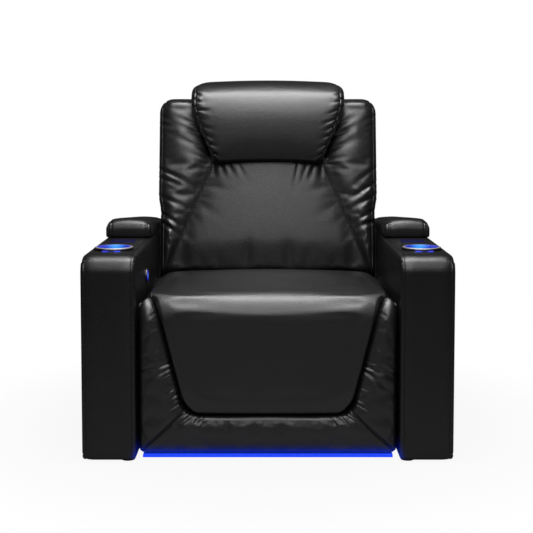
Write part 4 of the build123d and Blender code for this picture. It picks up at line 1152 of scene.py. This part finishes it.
def makeLid():
    low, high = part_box("right_lid_pad")
    high.x -= lid["inset"]
    across = spread(low.x, high.x, 0.008, 0.028, 0.0026)
    deep = spread(low.y, high.y, 0.012, 0.045, 0.0038)
    tall = spread(low.z, high.z, 0.0045)
    piece, points = quadBlock("right_lid_cushion", [across, deep, tall])
    for first, second, radius, ends in (
        (0, 2, "side", topCorners),
        (0, 2, "footSide", footCorners),
        (0, 1, "corner", corners),
        (1, 2, "roll", [(-1, 1)]),
        (1, 2, "under", [(-1, -1)]),
        (1, 2, "rearRound", [(1, 1)]),
    ):
        roundPair(points, low, high, first, second, lid[radius], ends)
    half, middle = (high.x - low.x) / 2, (high.x + low.x) / 2
    bulge = 1 - np.clip(np.abs(points[:, 0] - middle) / half, 0, 1) ** 2
    lift = np.clip((points[:, 2] - low.z) / (high.z - low.z), 0, 1)
    toRear = np.clip((points[:, 1] - low.y - 0.02) / (high.y - low.y - 0.02), 0, 1)
    points[:, 2] += (lid["crown"] * (bulge - 1) - lid["rearDrop"] * toRear) * lift
    writePoints(piece, points)
    normals = readPoints(piece, "normal")
    fromSide = half - np.abs(points[:, 0] - middle)
    onBand = 1 - ease(np.abs(normals[:, 0]) / 0.95)
    sink = 0.0030 * groove(fromSide - 0.010, 0.0020) + 0.0012 * groove(fromSide - lid["seam"], 0.0024)
    pushOut(piece, -sink * onBand)
    return piece


def lidRows(tree, sign):
    low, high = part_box("right_lid_pad")
    rows = []
    for inset in (lid["seam"], high.x - low.x - lid["inset"] - lid["seam"]):
        x = (low.x + inset) * sign
        centre = (low.y + 0.04, low.z + 0.02)
        turns = np.linspace(-0.35, math.pi / 2, 16)
        front = [(x, centre[0] - 0.2 * math.cos(a), centre[1] + 0.2 * math.sin(a)) for a in turns]
        top = [(x, y, high.z + 0.1) for y in np.arange(centre[0] + 0.01, high.y - 0.02, 0.02)]
        inside = [(x, *centre)] * len(front) + [(x, p[1], low.z) for p in top]
        rows.append(hits(tree, front + top, inside))
    return rows


# rear shell of the back, and the skirt below it

shell = {
    "deep": 0.130,
    "crown": 0.014,
    "corner": 0.044,
    "half": 0.342,
    "seam": 0.022,
}


def makeShell():
    half, long = shell["half"], backCushion["length"]
    across = spread(-half, half, 0.012, 0.05, 0.005)
    up = spread(0.0, long, 0.012, 0.05, 0.005)
    piece, grid = quadBlock("back_rear_panel", [across, up, np.linspace(0, 1, 14)])
    points = grid.copy()
    low, high = Vector((-half, 0, 0)), Vector((half, long, 1))
    roundPair(points, low, high, 0, 1, shell["corner"], topCorners)
    x, along, deep = points.T
    inside = np.minimum(half - np.abs(grid[:, 0]), long - grid[:, 1])
    crown = shell["crown"] * (1 - (x / half) ** 2)
    tall = 0.82 + 0.18 * np.sin(np.pi * np.clip(along / long, 0, 1)) ** 0.7
    rear = shell["deep"] * tall * (0.42 + 0.58 * rounded(inside, 0.055)) + crown
    rear = rear - 0.0030 * groove(inside - shell["seam"], 0.003)
    writePoints(piece, backPlace(x, along, 0.0005 - rear * (1 - deep)))
    return piece


def makeSkirt():
    low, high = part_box("rear_skirt")
    stops = [
        spread(low.x, high.x, 0.02, 0.012, 0.003),
        spread(low.y, high.y, 0.0025),
        spread(low.z, high.z, 0.02, 0.012, 0.003),
    ]
    piece, points = quadBlock("rear_skirt_panel", stops)
    roundPair(points, low, high, 1, 2, (high.y - low.y) / 2, corners)
    writePoints(piece, points)
    return piece


# build order: forms, filling, folds, then thread and piping on the finished surfaces


def finishPad(piece, nodes, material=black, body=None):
    refine(piece)
    dress(piece, material, body)
    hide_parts(*nodes)


# painted light: the blue light that the strip throws on the leather above it is painted on as emission;
# below, its strength, reach and fall at each height
paintedSpill = {  # how strong the strip's blue light is above it, how far it reaches and how fast it falls
    "stripHeight": 0.014,
    "footrest": (0.5, 0.042, 4),
    "arm": (0.25, 0.06, 3),
}


def paintedStripLight(z, where):
    strength, reach, fall = paintedSpill[where]
    return strength * (1 - np.clip((z - paintedSpill["stripHeight"]) / reach, 0, 1)) ** fall


def buildPads():
    pads = [makeChaise(), makeSurround(), makeBackCushion(), makePillow()]
    inflate(list(zip(pads, filling["caps"])))
    cover, ring, cushion, head = pads
    finishPad(cover, ("seat_cushion", "knee_roll", "footrest_pad"))
    finishPad(ring, ("footrest_bolsters", "footrest_band"), blackPaintedLit)
    finishPad(cushion, ("back_centre_pad", "back_wings"), black, "backrest")
    finishPad(head, ("headrest_pad",), black, "headrest")
    creaseSurround(ring)
    creaseBack(cushion)
    creasePillow(head)
    # painted light: blue from the strip painted on the footrest's leather near its foot
    keepFigures(ring, glow=paintedStripLight(readPoints(ring)[:, 2], "footrest"))
    return pads


def buildArms():
    right = makeArm()
    left = mirrored(right, "left_arm")
    cup = (armMiddle, cupFinish["middleY"], armHigh.z - 0.03)
    binLow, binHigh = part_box("storage_bins")
    flange = arm["binFlange"]
    low = (armMiddle - arm["binHalf"], binLow.y + flange, binLow.z)
    high = (armMiddle + arm["binHalf"], binHigh.y - flange, armHigh.z + 0.05)
    cutBy(right, [roundCutter(cup, arm["cupHole"], 0.12), boxCutter(low, high)])
    switch = (switchLow.x, switchMiddle.y, switchMiddle.z)
    cutBy(left, [
        roundCutter((-cup[0], cup[1], cup[2]), arm["cupHole"], 0.12),
        boxCutter((-high[0], low[1], low[2]), (-low[0], high[1], high[2])),
        roundCutter(switch, arm["switchHole"], 0.08, "X"),
    ])
    rightLid = makeLid()
    leftLid = mirrored(rightLid, "left_lid_cushion")
    for side, piece, top in (("right", right, rightLid), ("left", left, leftLid)):
        x, y, z = readPoints(piece).T
        # painted light: blue from the footrest strip painted on the inner front corner of each arm, near the
        # floor
        near = groove(np.abs(x) - armLow.x, 0.010) * groove(y - armLow.y, 0.05)
        keepFigures(piece, glow=near * paintedStripLight(z, "arm"))
        dress(piece, boxLeather, "base")
        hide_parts(f"{side}_arm_cover")
        finishPad(top, (f"{side}_lid_pad",), boxLeather, f"{side}_lid")
    return right, left, rightLid, leftLid


def buildRear():
    rear = dress(makeShell(), black, "backrest")
    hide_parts("back_shell")
    skirt = dress(makeSkirt(), black, "base")
    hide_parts("rear_skirt")


def sewArms(right, left, rightLid, leftLid):
    base = bmesh.new()
    for piece, sign in ((right, 1), (left, -1)):
        for row in armRows(surface(piece), sign):
            stitchRow(base, row)
    trim(base, "arm_stitches", stitchThread, "base")
    for piece, sign, side in ((rightLid, 1, "right"), (leftLid, -1, "left")):
        rows = bmesh.new()
        for row in lidRows(surface(piece), sign):
            stitchRow(rows, row)
        trim(rows, f"{side}_lid_stitches", stitchThread, f"{side}_lid")


def sewBack(cushion, head):
    tree = surface(cushion)
    rows, welts = bmesh.new(), bmesh.new()
    up = np.linspace(0.012, backCushion["seamTop"] + 0.004, 40)
    high = np.linspace(0.02, backCushion["length"] - 0.03, 60)
    for sign in (-1, 1):
        for off in (-0.0046, 0.0046):
            x = sign * (backSeamHalf(up) + off)
            stitchRow(rows, hits(tree, backPlace(x, up, 0.3), backPlace(x, up, 0.0)))
        x = sign * (backHalf(high) - 0.012)
        tubeAlong(welts, hits(tree, backPlace(x, high, 0.3), backPlace(x, high, 0.0)), 0.0016, 0.2)
    trim(rows, "back_stitches", stitchThread, "backrest")
    trim(welts, "back_piping", pipingLeather, "backrest")
    tree = surface(head)
    rows = bmesh.new()
    high = np.linspace(0.37, 0.60, 30)
    for sign in (-1, 1):
        x = sign * (pillowHalf(high) * (1 - pillow["seam"] / pillow["meanHalf"]) + 0.003)
        stitchRow(rows, hits(tree, backPlace(x, high, 0.4), backPlace(x, high, 0.05)), 0.0075)
    trim(rows, "headrest_stitches", stitchThread, "headrest")


def sewFootrest(cover, ring):
    tree = surface(cover, ring)
    welts = bmesh.new()
    share = np.linspace(0, 1, 24)
    outer, inner = surround["outer"], padHalf(-0.095) - surround["tuck"]
    for sign in (-1, 1):
        for off in (0.0, 0.0065):
            x = sign * (inner + 0.004 + (outer - inner - 0.006) * share)
            t = -0.098 + 0.034 * share**1.6 - 0.015 * np.sin(np.pi * share) + off
            tubeAlong(welts, hits(tree, legPlace(x, t, 0.2), legPlace(x, t, 0.0)), 0.0024, 0.55, 0.004)
    return trim(welts, "footrest_piping", pipingLeather)


cover, ring, cushion, head = buildPads()
print("pads ready")
arms = buildArms()
buildRear()
print("arms, lids and rear ready")
sewArms(*arms)
sewBack(cushion, head)
piping = sewFootrest(cover, ring)
kneeTop = tuple(legPlace(0.0, -seat["rollLength"], chaise["height"]))
kneeFront = tuple(legPlace(0.0, 0.0, chaise["height"]))
for piece in (cover, ring, piping):
    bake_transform(piece)
print("thread and piping ready")


# stage, light and camera

stage = {
    "half": 14,
    "floor": 0.24,
    "room": 0.045,
    "whiteFrom": 0.5,
    "whiteTo": 1.15,
    "floorLift": 0.92,
}
camera = {
    "place": (0.0, -3.38, 0.909),
    "pitch": 3.86,
    "focal": 1124.0,  # in pixels of the photo
    "photoWide": 533,
    "sensor": 36.0,
    "shiftY": -0.136,
    "shiftX": -0.0025,
}
lights = {  # place, target, size, power
    "overhead": ((0.0, -0.45, 2.35), (0, -0.15, 0.5), (1.5, 0.6), 50.0),
    "middle": ((0.0, -1.67, 2.48), (0, -0.45, 0.53), (1.4, 1.3), 22.0),
    "front": ((0.0, -3.1, 2.3), (0, 0.2, 0.7), (0.9, 1.2), 22.0),
}


def makeStage():
    bm = bmesh.new()
    bmesh.ops.create_grid(bm, x_segments=1, y_segments=1, size=stage["half"])
    floor = fromBmesh(bm, "floor")
    finish = Finish("paleFloor")
    pale = stage["floor"]
    cloud = finish.noise(0.8, 2.0)
    finish.set(Base_Color=finish.mix(cloud, grey(pale * 0.99), grey(pale)), Roughness=0.9)
    far = finish.add("ShaderNodeVectorMath", {"operation": "LENGTH"}, {0: finish.place()}, out=1)
    fade = finish.ramp(far, stage["whiteFrom"], stage["whiteTo"], stage["floorLift"], 1.0, "SMOOTHSTEP")
    seen = finish.add("ShaderNodeLightPath")
    bright = finish.add("ShaderNodeEmission", {}, {"Color": grey(1.0), "Strength": 1.0})
    mixed = finish.add("ShaderNodeMixShader", {}, {0: fade * seen, 2: bright})
    finish.tree.links.new(finish.shader.outputs[0], mixed.socket.node.inputs[1])
    finish.tree.links.new(mixed.socket, finish.tree.nodes["Material Output"].inputs[0])
    floor.data.materials.append(finish.material)
    world = bpy.data.worlds.new("studio")
    bpy.context.scene.world = world
    world.use_nodes = True
    nodes, links = world.node_tree.nodes, world.node_tree.links
    rays = nodes.new("ShaderNodeLightPath")
    pick = nodes.new("ShaderNodeMix")
    pick.inputs[2].default_value, pick.inputs[3].default_value = stage["room"], 1.0
    ground = nodes["Background"]
    ground.inputs["Color"].default_value = (1, 1, 1, 1)
    links.new(rays.outputs["Is Camera Ray"], pick.inputs[0])
    links.new(pick.outputs[0], ground.inputs["Strength"])


def areaLight(name, place, target, size, power):
    data = bpy.data.lights.new(name, "AREA")
    data.shape, data.size, data.size_y, data.energy = "RECTANGLE", size[0], size[1], power
    light = bpy.data.objects.new(name, data)
    light.location = place
    light.rotation_euler = (Vector(target) - Vector(place)).to_track_quat("-Z", "Y").to_euler()
    bpy.context.scene.collection.objects.link(light)


def makeCamera():
    data = bpy.data.cameras.new("camera")
    data.sensor_width = camera["sensor"]
    data.lens = camera["focal"] / camera["photoWide"] * camera["sensor"]
    data.shift_y, data.shift_x = camera["shiftY"], camera["shiftX"]
    view = bpy.data.objects.new("camera", data)
    view.location = camera["place"]
    view.rotation_euler = (math.radians(90 - camera["pitch"]), 0, 0)
    bpy.context.scene.collection.objects.link(view)
    bpy.context.scene.camera = view


makeStage()
for name, values in lights.items():
    areaLight(name, *values)
makeCamera()
bpy.context.scene.view_settings.view_transform = "Standard"
print("stage ready")
